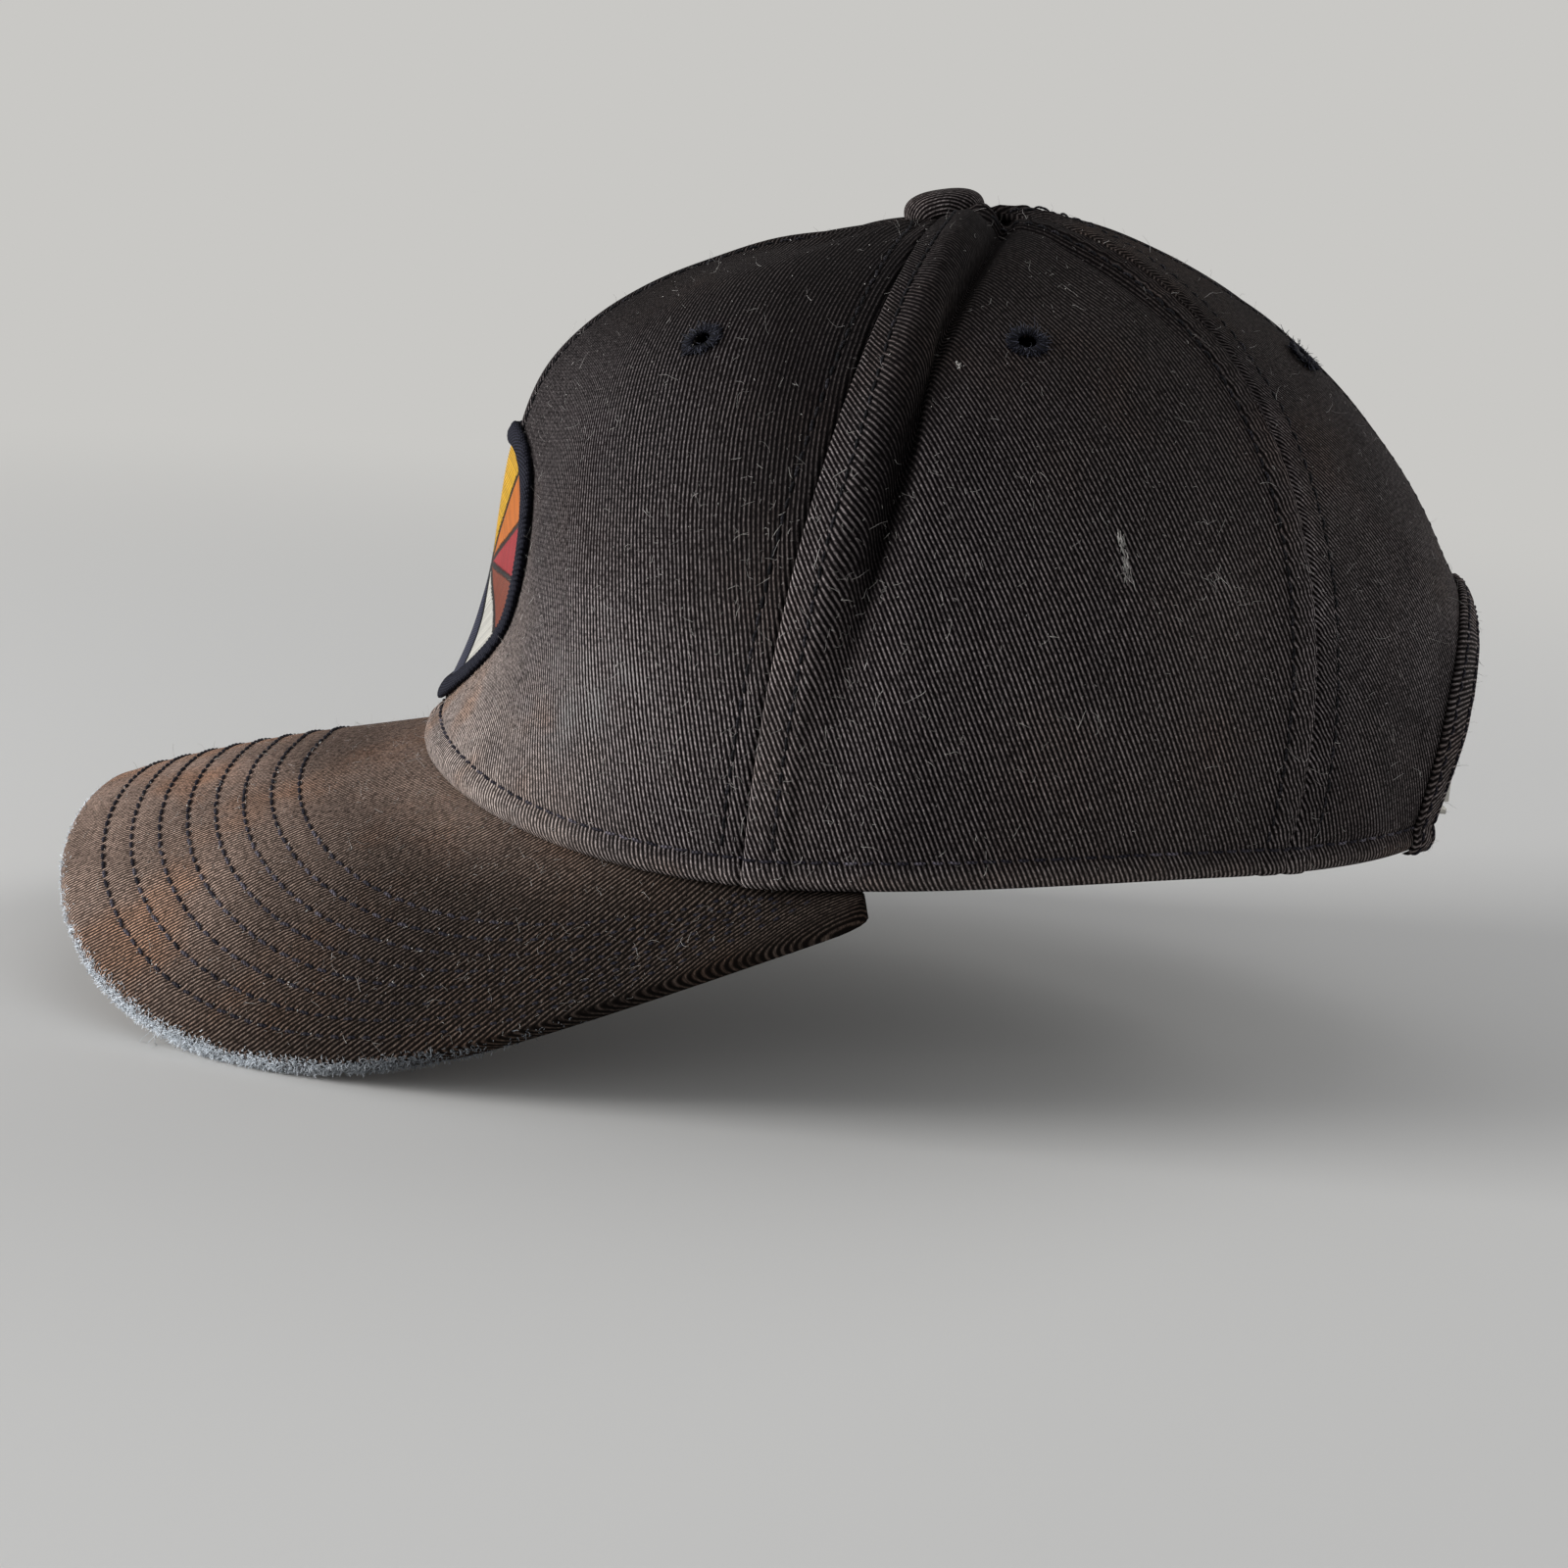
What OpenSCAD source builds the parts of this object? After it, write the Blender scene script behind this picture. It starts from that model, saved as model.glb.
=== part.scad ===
// Baseball-style bump cap: a six-panel cloth cap with a stitched visor, a strap closure
// at the back and a lift-out impact insert. Origin at the centre of the head opening,
// +Z up, the visor towards -Y, the wearer's left towards +X. Millimetres.

/* [Crown] */
// Width of the head opening, ear to ear
crown_width = 172; // [160:1:184]
// Reach of the crown from its top button forward to the rim
front_reach = 92; // [86:1:98]
// Reach of the crown from its top button back to the rim
back_reach = 104; // [98:1:110]
// Height of the crown's top above the lowest point of the rim
crown_height = 112; // [104:1:120]
// Thickness of the twill panels
cloth = 1; // [0.8:0.1:1.2]
// Depth by which the front panels fall back beside their ridge at the centre seam
ridge_depth = 6; // [0:0.5:6]
// Rise of the rim at the centre front, over the visor
rim_front_rise = 7; // [4:0.5:9]
// Rise of the rim behind the ears
rim_rear_rise = 6.4; // [4:0.2:9]
// Width of the tape over each seam
tape_width = 12; // [8:1:16]
// Thickness of the seam tape
tape_t = 0.6; // [0.4:0.1:0.8]
// Thickness of the stiffener behind the front panels
stiffener_t = 0.8; // [0.5:0.1:1]
// Height of the sweatband
sweatband_h = 30; // [24:1:32]
// Thickness of the sweatband
sweatband_t = 1.2; // [0.8:0.1:1.5]

/* [Button and eyelets] */
// Diameter of the cloth-covered top button
button_d = 15; // [12:0.5:18]
// Height of the top button
button_h = 4.2; // [3:0.2:6]
// Diameter of the button's rivet shank
rivet_d = 3; // [2:0.2:4]
// Outer diameter of a sewn eyelet
eyelet_d = 8; // [7:0.2:9]
// Open bore of a sewn eyelet
eyelet_bore = 3.4; // [2.6:0.2:4]

/* [Visor] */
// Length of the visor at the centre front, seam to tip
visor_length = 65.4; // [58:0.2:72]
// Width of the visor across its bent sides
visor_width = 182; // [176:1:186]
// Radius of the bend across the visor
visor_arch_r = 98; // [95:1:130]
// Drop of the visor's tip below the rim
visor_drop = 11; // [6:0.5:16]
// Rise of the visor's crown over a straight line from seam to tip
visor_bow = 2.2; // [0:0.2:4]
// Thickness of the visor board
board_t = 2; // [1.5:0.1:2.5]
// Thickness of each visor cover
cover_t = 0.7; // [0.5:0.1:1]
// Width of the sewn lip beyond the visor board
visor_lip = 1.6; // [1.2:0.2:3]

/* [Badge] */
// Diameter of the round badge on the front
badge_d = 55; // [46:1:60]
// Height of the badge's centre
badge_z = 39.5; // [36:0.5:44]
// Width of the badge's sewn border
badge_border_w = 4.4; // [3:0.2:6]
// Thickness of the badge
badge_t = 1.3; // [1:0.1:1.8]
// Thickness of the badge's border
badge_border_t = 2.1; // [1.8:0.1:2.6]

/* [Closure] */
// Width of the opening at the back, at the rim
arch_w = 64; // [60:1:70]
// Height of the top of the opening
arch_top = 45; // [42:1:48]
// Width of the sewn hem round the opening
hem_w = 7; // [5:0.5:8]
// Width of the closure strap
strap_w = 16; // [14:0.5:18]
// Thickness of the closure strap
strap_t = 1.4; // [1:0.1:1.8]
// Height of the strap's middle
strap_z = 16; // [15:0.5:18]
// Length of the buckle frame along the strap
buckle_l = 23; // [21:0.5:25]
// Thickness of the buckle's sheet metal
buckle_t = 1.2; // [0.8:0.1:1.5]
// Diameter of the buckle's pin
pin_d = 2; // [1.6:0.1:2.4]
// Thickness of the buckle's lever
lever_t = 1.4; // [1:0.1:1.8]

/* [Insert] */
// Wall of the impact shell
shell_t = 2.5; // [2:0.1:3]
// Height of the shell's lower edge at the front and sides
shell_edge_z = 41; // [39:1:44]
// Height of the shell's lower edge at the back
shell_back_z = 56; // [52:1:60]
// Width of a vent slot in the shell
vent_w = 5; // [4:0.5:6]
// Length of a vent slot in the shell
vent_l = 20; // [14:1:22]
// Thickness of the foam pads
pad_t = 5; // [4:0.5:6]
// Thickness of the soft trim below the shell's edge
trim_h = 3; // [2:0.5:4]
// Width of a hook-and-loop tab
tab_w = 18; // [14:1:20]
// Height of a hook-and-loop tab
tab_h = 14; // [10:1:16]

/* [Clearances] */
// Gap between sewn layers
layer_gap = 0.3; // [0.25:0.05:0.4]
// Gap between two panels at their seam
seam_gap = 0.1; // [0.05:0.05:0.2]
// Radial running clearance on the buckle's pin
running = 0.05; // [0.03:0.01:0.08]

/* [Hidden] */
$fn = 48;

twill = "#3a3533";
faded = "#5a4d43";
lining = "#26262a";
thread = "#232638";
steel = "#b9b7b0";
hard = "#1c1d20";
foam = "#3c4046";

// The crown in plan: two half ellipses that meet at the top button
apex_y = (front_reach - back_reach) / 2;
half_w = crown_width / 2;

// Upright outlines of the crown: two control points each, [share of reach, share of height]
front_outline = [[0.66, 0.484], [1.22, 0.815]];
side_outline = [[1.06, 0.552], [0.66, 1.014]];
back_outline = [[1.16, 0.524], [0.51, 1.113]];

// Angles round the crown are measured from the centre front, positive to the left
temple_angle = 67;
rear_angle = 125;
front_seam_low = 75.2;
front_seam_high = 85;
back_seam_low = 131.3;
back_seam_high = 152.3;
seam_power = 1.5;
ridge_span = 60;
ridge_start = 0.2;
panel_top_share = 0.98;
half_turn = 180;

// Places of the eyelets, [angle, share of the way up]
eyelet_places = [[50.7, 0.62], [104.5, 0.61], [167, 0.565]];
eyelet_rise = 0.6;
eyelet_wall = 0.7;
eyelet_fit = 0.15;
eyelet_drop = 0.9;

// Layers of the cap, as distances in from the outer face of the cloth
hem_t = 1;
ply_gap = 0.1;
lining_in = cloth + layer_gap;
tape_in = lining_in + tape_t;
stiffener_in = lining_in + stiffener_t;
front_tape_out = stiffener_in + layer_gap;
front_tape_in = front_tape_out + tape_t;
sweatband_out = front_tape_in + layer_gap;
sweatband_in = sweatband_out + sweatband_t;
tab_t = 1.6;
loop_in = lining_in + tab_t;
hook_out = loop_in + layer_gap;
hook_in = hook_out + tab_t;
shell_gap = 0.15;
shell_out = max(hook_in + shell_gap, sweatband_in + layer_gap);
shell_in = shell_out + shell_t;
pad_glue = 0.6;
pad_out = shell_in + pad_glue;
pad_in = pad_out + pad_t;

sweatband_angle = 138;
tape_low = 0.03;
tape_high = 0.84;
front_tape_low = 0.3;

// Visor: a squared oval edge in plan, level towards its rear ends
visor_square = 3.2;
visor_rear_y = -4;
visor_end_drop = 8;
visor_level = 1.14;
visor_level_power = 1.05;
visor_end_angle = 90;
visor_close_angle = 74;
visor_end_out = 4;
visor_end_fall = 1.5;
visor_t = 2 * cover_t + board_t + 2 * ply_gap;
visor_tip_y = apex_y - front_reach - visor_length;
visor_inner_in = sweatband_out - layer_gap;
visor_start = 2;

// Closure strap: an arc through the crown at the height of the strap's lower edge
strap_low_z = strap_z - strap_w / 2;
strap_room = 0.7;
strap_arc_x = 45;
strap_inset = cloth + strap_room;
strap_tail_angle = 37;
buckle_angle = 9.5;
buckle_side_room = 0.5;
lever_side_room = 0.3;
lever_l = 16;
barrel_wall = 1;
jaw_gap = 0.35;
jaw_tooth = 0.25;
jaw_teeth = 9;
keeper_out = layer_gap + hem_t + 2 * layer_gap;
keeper_t = 1;
keeper_reach = 15;

// Share of the way up the front and back profiles at the strap
strap_share = t_at(half_turn, strap_low_z);
strap_back = crown(half_turn, strap_share, strap_inset);
strap_side_angle = asin(strap_arc_x / half_w);
strap_side = crown(half_turn - strap_side_angle, strap_share, strap_inset);
strap_rise = strap_back.y - strap_side.y;
strap_outer_r = (strap_side.x ^ 2 + strap_rise ^ 2) / (2 * strap_rise);
strap_cy = strap_back.y - strap_outer_r;
strap_mid_r = strap_outer_r - strap_t / 2;

// Places on the buckle, in its own frame: X along the strap, Y outwards, Z up
buckle_half_h = strap_w / 2 + buckle_side_room;
strap_sag = (buckle_l / 2) ^ 2 / (2 * strap_mid_r);
base_y = -(strap_t / 2 + strap_sag + layer_gap + buckle_t);
barrel_r = pin_d / 2 + running + barrel_wall;
pin_y = strap_t / 2 + jaw_gap + barrel_r;
pin_x = buckle_l / 2 - barrel_r - lever_side_room;
bar_x = buckle_l / 2 + barrel_r;
ear_x = bar_x + pin_d / 2 + buckle_t;
ear_y = pin_y + barrel_r;

// Insert: rows of vent slots, [angle, height of the slot's middle]
vent_places = [[24, 74], [52, 72], [82, 74], [134, 80], [38, 95], [84, 99], [122, 99], [160, 100]];
tab_places = [[108, 78], [158, 77]];
shell_rise_angle = 120;
shell_rise_span = 40;
front_pad_angle = 36;
front_pad_z = [48, 60];
side_pad_angles = [74, 116];
side_pad_z = [48, 62];
rear_pad_angle = 26;
rear_pad_z = [64, 74];
crown_pad_share = 0.82;
pole_share = 0.96;

// Numbers of facets
panel_rows = 14;
panel_step = 6.5;
front_cols = ceil(front_seam_low / panel_step);
badge_cols = [-5, 5];
badge_rows = [0, 8];
stiffener_cols = [0, 10];
stiffener_rows = [1, 8];
lining_rows = 9;
shell_rows = 12;
ring_cols = 48;
visor_cols = 32;
visor_rows = 5;

// Share of the reach and of the height along an upright outline, t from the rim to the top
function share_out(p, t) =
    (1 - t) ^ 3 + 3 * p[0][0] * t * (1 - t) ^ 2 + 3 * p[1][0] * t ^ 2 * (1 - t);
function share_up(p, t) = 3 * p[0][1] * t * (1 - t) ^ 2 + 3 * p[1][1] * t ^ 2 * (1 - t) + t ^ 3;

// Weights of the front, side and back outlines at an angle
function blend(a, f, s, b) =
    f * max(cos(a), 0) ^ 2 + s * sin(a) ^ 2 + b * max(-cos(a), 0) ^ 2;
function out_at(a, t) = blend(a, share_out(front_outline, t), share_out(side_outline, t),
    share_out(back_outline, t));
function up_at(a, t) = blend(a, share_up(front_outline, t), share_up(side_outline, t),
    share_up(back_outline, t));

// Height of the rim: high at the front, low at the temples, level behind the ears
function around(a) = acos(cos(a));
function ease(x) = (1 - cos(half_turn * min(max(x, 0), 1))) / 2;
function rim_z(a) = around(a) < temple_angle
    ? rim_front_rise * (1 - ease(around(a) / temple_angle))
    : rim_rear_rise * ease((around(a) - temple_angle) / (rear_angle - temple_angle));

// The front panels meet in a ridge: they fall back beside it, from just over the rim upwards
function ridge_wave(x) = sin(x) * (1 + cos(x)) / (sin(ridge_span) * (1 + cos(ridge_span)));
function ridge_fall(a, t) = around(a) > ridge_span ? 0
    : ridge_depth * ease(t / ridge_start) * ridge_wave(around(a) / ridge_span * half_turn);
function reach(a, t) = cos(a) > 0 ? front_reach - ridge_fall(a, t) : back_reach;

// A point of the crown at an angle, a share of the way up, and a distance in from the cloth's face
function crown(a, t, inset = 0) = [
    (half_w - inset) * sin(a) * out_at(a, t),
    apex_y - (reach(a, t) - inset) * cos(a) * out_at(a, t),
    (crown_height - inset) * up_at(a, t) + rim_z(a) * (1 - t) ^ 2];

// Share of the way up at which the crown reaches a height
function t_at(a, z, low = 0, high = 0.75, steps = 16) = let(mid = (low + high) / 2)
    steps == 0 ? mid
    : crown(a, mid).z < z ? t_at(a, z, mid, high, steps - 1) : t_at(a, z, low, mid, steps - 1);

// Outward direction of the crown
function crown_normal(a, t, d = 0.5, e = 0.005) = let(
    n = cross(crown(a + d, t) - crown(a - d, t), crown(a, t + e) - crown(a, t - e))) n / norm(n);

// Angles of the three seams of one side
function front_seam(t) = front_seam_low + (front_seam_high - front_seam_low) * t ^ seam_power;
function back_seam(t) = back_seam_low + (back_seam_high - back_seam_low) * t ^ seam_power;
function arc_angle(length, radius) = length / radius * half_turn / PI;
seam_half = arc_angle(seam_gap / 2, half_w);

function mix(a, b, s) = a + (b - a) * s;

// Outer edge of the visor at an edge angle from -90 to 90
function signed_power(v, p) = sign(v) * abs(v) ^ p;
function visor_edge(a) = let(
    x = visor_width / 2 * signed_power(sin(a), 2 / visor_square),
    y = mix(visor_rear_y, visor_tip_y, abs(cos(a)) ^ (2 / visor_square)),
    s = (y - visor_tip_y) / (visor_rear_y - visor_tip_y),
    arch = visor_arch_r - sqrt(max(visor_arch_r ^ 2 - x ^ 2, 0)),
    z = mix(-visor_drop, -visor_end_drop, s) - arch * (1 - visor_level * s ^ visor_level_power),
    end = crown(sign(a) * visor_end_angle, 0, -visor_end_out) - [0, 0, visor_end_fall],
    close = ease((abs(a) - visor_close_angle) / (visor_end_angle - visor_close_angle)))
    mix([x, y, z], end, close);

// A point of the visor's top face: straight from the seam to the edge, with a slight bow
function visor_at(a, u) = let(
    seam = crown(a, 0, visor_inner_in) - [0, 0, layer_gap])
    mix(seam, visor_edge(a), u) + [0, 0, 4 * visor_bow * u * (1 - u) * cos(a)];
function visor_normal(a, u, d = 0.5, e = 0.02) = let(
    n = cross(visor_at(a + d, u) - visor_at(a - d, u), visor_at(a, u + e) - visor_at(a, u - e)))
    n / norm(n);
function visor_layer(a, u, depth) = visor_at(a, u) + depth * visor_normal(a, u);
function board_share(a) = 1 - visor_lip / norm(visor_edge(a) - visor_at(a, 0));

// Closed sheet between two grids of points; facing out when columns run left and rows run up
module sheet(outer, inner) {
    rows = len(outer) - 1;
    cols = len(outer[0]) - 1;
    layer = (rows + 1) * (cols + 1);
    id = function(k, r, c) k * layer + r * (cols + 1) + c;
    quad = function(a, b, c, d) [[a, b, c], [a, c, d]];
    faces = concat(
        [for (r = [0:rows - 1], c = [0:cols - 1])
            each quad(id(0, r, c), id(0, r + 1, c), id(0, r + 1, c + 1), id(0, r, c + 1))],
        [for (r = [0:rows - 1], c = [0:cols - 1])
            each quad(id(1, r, c), id(1, r, c + 1), id(1, r + 1, c + 1), id(1, r + 1, c))],
        [for (r = [0:rows - 1])
            each quad(id(0, r, 0), id(1, r, 0), id(1, r + 1, 0), id(0, r + 1, 0))],
        [for (r = [0:rows - 1])
            each quad(id(0, r, cols), id(0, r + 1, cols), id(1, r + 1, cols), id(1, r, cols))],
        [for (c = [0:cols - 1])
            each quad(id(0, 0, c), id(0, 0, c + 1), id(1, 0, c + 1), id(1, 0, c))],
        [for (c = [0:cols - 1])
            each quad(id(0, rows, c), id(1, rows, c), id(1, rows, c + 1), id(0, rows, c + 1))]);
    polyhedron([for (row = concat(outer, inner)) each row], faces);
}

// Sheet on the crown; place gives [angle, share up] for u across and v up
module crown_sheet(place, rows, cols, outer, inner) {
    grid = function(inset) [for (r = [0:rows]) [for (c = [0:cols])
        let(p = place(c / cols, r / rows)) crown(p[0], p[1], inset)]];
    sheet(grid(outer), grid(inner));
}

// Sheet on the crown between two angles and two heights
module crown_band(angles, heights, rows, cols, outer, inner)
    crown_sheet(function(u, v) let(a = mix(angles[0], angles[1], u))
        [a, mix(t_at(a, heights[0]), t_at(a, heights[1]), v)], rows, cols, outer, inner);

// Closed cup over the crown's top, from the share that low(angle) gives
module crown_cup(low, rows, outer, inner) {
    ring = function(r, inset) [for (c = [0:ring_cols - 1]) let(a = 2 * half_turn * c / ring_cols)
        crown(a, mix(low(a), pole_share, r / rows), inset)];
    points = concat([for (r = [0:rows]) each ring(r, outer)], [crown(0, 1, outer)],
        [for (r = [0:rows]) each ring(r, inner)], [crown(0, 1, inner)]);
    layer = (rows + 1) * ring_cols + 1;
    id = function(k, r, c) k * layer + r * ring_cols + c % ring_cols;
    quad = function(a, b, c, d) [[a, b, c], [a, c, d]];
    faces = concat(
        [for (r = [0:rows - 1], c = [0:ring_cols - 1])
            each quad(id(0, r, c), id(0, r + 1, c), id(0, r + 1, c + 1), id(0, r, c + 1))],
        [for (r = [0:rows - 1], c = [0:ring_cols - 1])
            each quad(id(1, r, c), id(1, r, c + 1), id(1, r + 1, c + 1), id(1, r + 1, c))],
        [for (c = [0:ring_cols - 1]) [id(0, rows, c), layer - 1, id(0, rows, c + 1)]],
        [for (c = [0:ring_cols - 1]) [id(1, rows, c), id(1, rows, c + 1), 2 * layer - 1]],
        [for (c = [0:ring_cols - 1])
            each quad(id(0, 0, c), id(0, 0, c + 1), id(1, 0, c + 1), id(1, 0, c))]);
    polyhedron(points, faces);
}

// Closed ring on the crown between two heights that vary with the angle
module crown_ring(low, high, outer, inner) {
    corner = [[low, outer], [high, outer], [high, inner], [low, inner]];
    sides = len(corner);
    points = [for (c = [0:ring_cols - 1]) let(a = 2 * half_turn * c / ring_cols)
        each [for (k = corner) crown(a, t_at(a, k[0](a)), k[1])]];
    id = function(c, k) (c % ring_cols) * sides + k % sides;
    polyhedron(points, [for (c = [0:ring_cols - 1], k = [0:sides - 1]) each [
        [id(c, k), id(c, k + 1), id(c + 1, k + 1)], [id(c, k), id(c + 1, k + 1), id(c + 1, k)]]]);
}

// Children stand on the crown's outer face with Z along its outward direction
module on_crown(a, t, inset = 0) {
    p = crown(a, t, inset);
    n = crown_normal(a, t);
    translate(p) rotate([0, acos(n.z), atan2(n.y, n.x)]) children();
}

module both_sides() {
    children();
    mirror([1, 0, 0]) children();
}

// Upright outline of the opening at the back, grown by a margin
module arch_outline(margin) {
    r = arch_w / 2;
    translate([0, arch_top - r]) circle(r + margin);
    translate([-r - margin, -r]) square([arch_w + 2 * margin, arch_top]);
}
module arch_cut(margin = 0)
    rotate([90, 0, 0]) mirror([0, 0, 1]) linear_extrude(back_reach * 2) arch_outline(margin);

module eyelet_cut(place) on_crown(place[0], place[1])
    cylinder(d = eyelet_bore + 2 * (eyelet_wall + eyelet_fit), h = eyelet_d, center = true);

// One panel of the left side between two seams, with its eyelet hole
module panel(from, to, place) difference() {
    crown_sheet(function(u, v) let(t = v * panel_top_share)
        [mix(from(t) + seam_half, to(t) - seam_half, u), t],
        panel_rows, ceil((to(0) - from(0)) / panel_step), 0, cloth);
    eyelet_cut(place);
}
module front_panel() panel(function(t) 0, function(t) front_seam(t), eyelet_places[0]);
module side_panel()
    panel(function(t) front_seam(t), function(t) back_seam(t), eyelet_places[1]);
module back_panel() difference() {
    panel(function(t) back_seam(t), function(t) half_turn, eyelet_places[2]);
    arch_cut();
}

module front_panel_left() color(twill) front_panel();
module front_panel_right() color(twill) mirror([1, 0, 0]) front_panel();
module side_panel_left() color(twill) side_panel();
module side_panel_right() color(twill) mirror([1, 0, 0]) side_panel();
module back_panel_left() color(twill) back_panel();
module back_panel_right() color(twill) mirror([1, 0, 0]) back_panel();

// Sheet on the front panels that shares the lines of their facets
module front_sheet(rows, cols, outer, inner) crown_sheet(function(u, v)
    let(t = mix(rows[0], rows[1], v) / panel_rows * panel_top_share,
        w = mix(cols[0], cols[1], u) / front_cols)
    [(w < 0 ? -1 : 1) * mix(seam_half, front_seam(t) - seam_half, abs(w)), t],
    rows[1] - rows[0], cols[1] - cols[0], outer, inner);

// Buckram that keeps the two front panels upright, one piece in each
module front_stiffener() color(lining) both_sides()
    front_sheet(stiffener_rows, stiffener_cols, lining_in, stiffener_in);

// Strip of tape along a seam, inside the crown
module seam_tape(seam, low, outer, inner) crown_sheet(function(u, v)
    let(t = mix(low, tape_high, v),
        half = arc_angle(tape_width / 2, half_w * out_at(seam(t), t)))
    [seam(t) + mix(-half, half, u), t], panel_rows, 2, outer, inner);
module seam_tapes() color(lining) {
    seam_tape(function(t) 0, front_tape_low, front_tape_out, front_tape_in);
    both_sides() {
        seam_tape(function(t) front_seam(t), tape_low, lining_in, tape_in);
        seam_tape(function(t) back_seam(t), tape_low, lining_in, tape_in);
    }
    seam_tape(function(t) half_turn, t_at(half_turn, arch_top + hem_w), lining_in, tape_in);
}

// Folded band against the forehead, open at the strap
module sweatband() color(lining) crown_sheet(function(u, v)
    let(a = mix(-sweatband_angle, sweatband_angle, u))
    [a, v * t_at(a, rim_z(a) + sweatband_h)], 3, 44, sweatband_out, sweatband_in);

// Folded hem sewn round the opening at the back
module arch_hem() color(twill) difference() {
    intersection() {
        crown_band([back_seam_low, 2 * half_turn - back_seam_low], [rim_rear_rise, arch_top + 2 * hem_w],
            6, 16, -layer_gap - hem_t, -layer_gap);
        arch_cut(hem_w);
    }
    arch_cut();
}

// Thread ring through each panel
module eyelet() rotate_extrude() difference() {
    union() {
        translate([0, layer_gap]) square([eyelet_d / 2, eyelet_rise]);
        translate([0, -cloth - eyelet_drop])
            square([eyelet_bore / 2 + eyelet_wall, cloth + eyelet_drop + layer_gap + eyelet_rise]);
    }
    translate([-eyelet_bore, -half_w]) square([1.5 * eyelet_bore, crown_width]);
}
module eyelets() color(thread) both_sides() for (place = eyelet_places)
    on_crown(place[0], place[1]) eyelet();

// Cloth-covered button, tilted with the crown's top
top_slope = (share_rise(back_outline) * crown_height / back_reach
    - share_rise(front_outline) * crown_height / front_reach) / 2;
function share_rise(p) = (p[1][1] - 1) / p[1][0];
module on_top() translate([0, apex_y, crown_height]) rotate([atan(top_slope), 0, 0]) children();
button_lift = 1;
module top_button() color(twill) on_top() translate([0, 0, button_lift]) rotate_extrude() {
    dome_r = ((button_d / 2) ^ 2 + button_h ^ 2) / (2 * button_h);
    intersection() {
        translate([0, button_h - dome_r]) circle(dome_r);
        square([button_d / 2, button_h]);
    }
}
module button_rivet() color(steel) on_top() {
    washer_z = -(cloth + button_lift);
    translate([0, 0, washer_z]) cylinder(d = rivet_d, h = button_lift - washer_z);
    translate([0, 0, washer_z - rivet_d / 4]) cylinder(d = button_d * 0.7, h = rivet_d / 4);
}

// Visor: two cloth covers, sewn together round a moulded board. A station is a place from the
// seam, 0, to the board's edge, 1, and on to the outer edge, 2, with its two depths
function visor_share(a, place) = place <= 1 ? place * board_share(a)
    : mix(board_share(a), 1, place - 1);
function visor_row(place, depth) = [for (c = [0:visor_cols])
    let(a = mix(visor_end_angle - visor_start, visor_start - visor_end_angle, c / visor_cols))
    visor_layer(a, visor_share(a, place), depth)];
function visor_stations(outer, inner) = [for (r = [0:visor_rows]) [r / visor_rows, outer, inner]];
module visor_sheet(stations)
    sheet([for (s = stations) visor_row(s[0], s[1])], [for (s = stations) visor_row(s[0], s[2])]);
lip_start = 1.1;
module visor_top_cover() color(faded) visor_sheet(concat(visor_stations(0, cover_t),
    [for (place = [lip_start, 2]) [place, 0, (visor_t - ply_gap) / 2]]));
module visor_under_cover() color(lining) visor_sheet(concat(
    visor_stations(visor_t - cover_t, visor_t),
    [for (place = [lip_start, 2]) [place, (visor_t + ply_gap) / 2, visor_t]]));
module visor_board() color(hard)
    visor_sheet(visor_stations(cover_t + ply_gap, cover_t + ply_gap + board_t));

// Round badge that follows the front panels, with a raised border
module badge_layer(outer_d, inner_d, thickness) intersection() {
    front_sheet(badge_rows, badge_cols, -layer_gap - thickness, -layer_gap);
    translate([0, 0, badge_z]) rotate([90, 0, 0]) linear_extrude(2 * front_reach) difference() {
        circle(d = outer_d);
        circle(d = inner_d);
    }
}
module badge_disc() color("orange")
    badge_layer(badge_d - 2 * badge_border_w - ply_gap, 0, badge_t);
module badge_border() color(thread)
    badge_layer(badge_d, badge_d - 2 * badge_border_w, badge_border_t);

// The buckle and its keeper sit on the wearer's right of the opening
module on_right() mirror([1, 0, 0]) children();
module at_strap(angle) on_right() translate([0, strap_cy, strap_z]) rotate([0, 0, -angle])
    translate([0, strap_mid_r, 0]) children();

// Strap that bridges the opening and runs on inside the panels at both sides
module closure_strap() color(twill) translate([0, strap_cy, strap_low_z])
    rotate([0, 0, 90 - strap_tail_angle]) rotate_extrude(angle = 2 * strap_tail_angle)
        translate([strap_outer_r - strap_t, 0]) square([strap_t, strap_w]);

// Pressed buckle: a back plate, two ears and the bar that the keeper holds
module buckle_frame() color(steel) at_strap(buckle_angle) difference() {
    union() {
        translate([-buckle_l / 2, base_y, -buckle_half_h - buckle_t])
            cube([buckle_l, buckle_t, 2 * (buckle_half_h + buckle_t)]);
        for (side = [0, 1]) mirror([0, 0, side]) translate([0, 0, buckle_half_h])
            linear_extrude(buckle_t) difference() {
                union() {
                    translate([-buckle_l / 2, base_y]) square([buckle_l, pin_y - base_y]);
                    translate([pin_x, base_y]) square([ear_x - pin_x, ear_y - base_y]);
                }
                translate([pin_x, pin_y]) circle(d = pin_d + running);
            }
        translate([bar_x, pin_y, 0])
            cylinder(d = pin_d, h = 2 * buckle_half_h + buckle_t, center = true);
    }
}
module buckle_pin() color(steel) at_strap(buckle_angle) translate([pin_x, pin_y, 0])
    cylinder(d = pin_d, h = 2 * (buckle_half_h + buckle_t), center = true);

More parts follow.
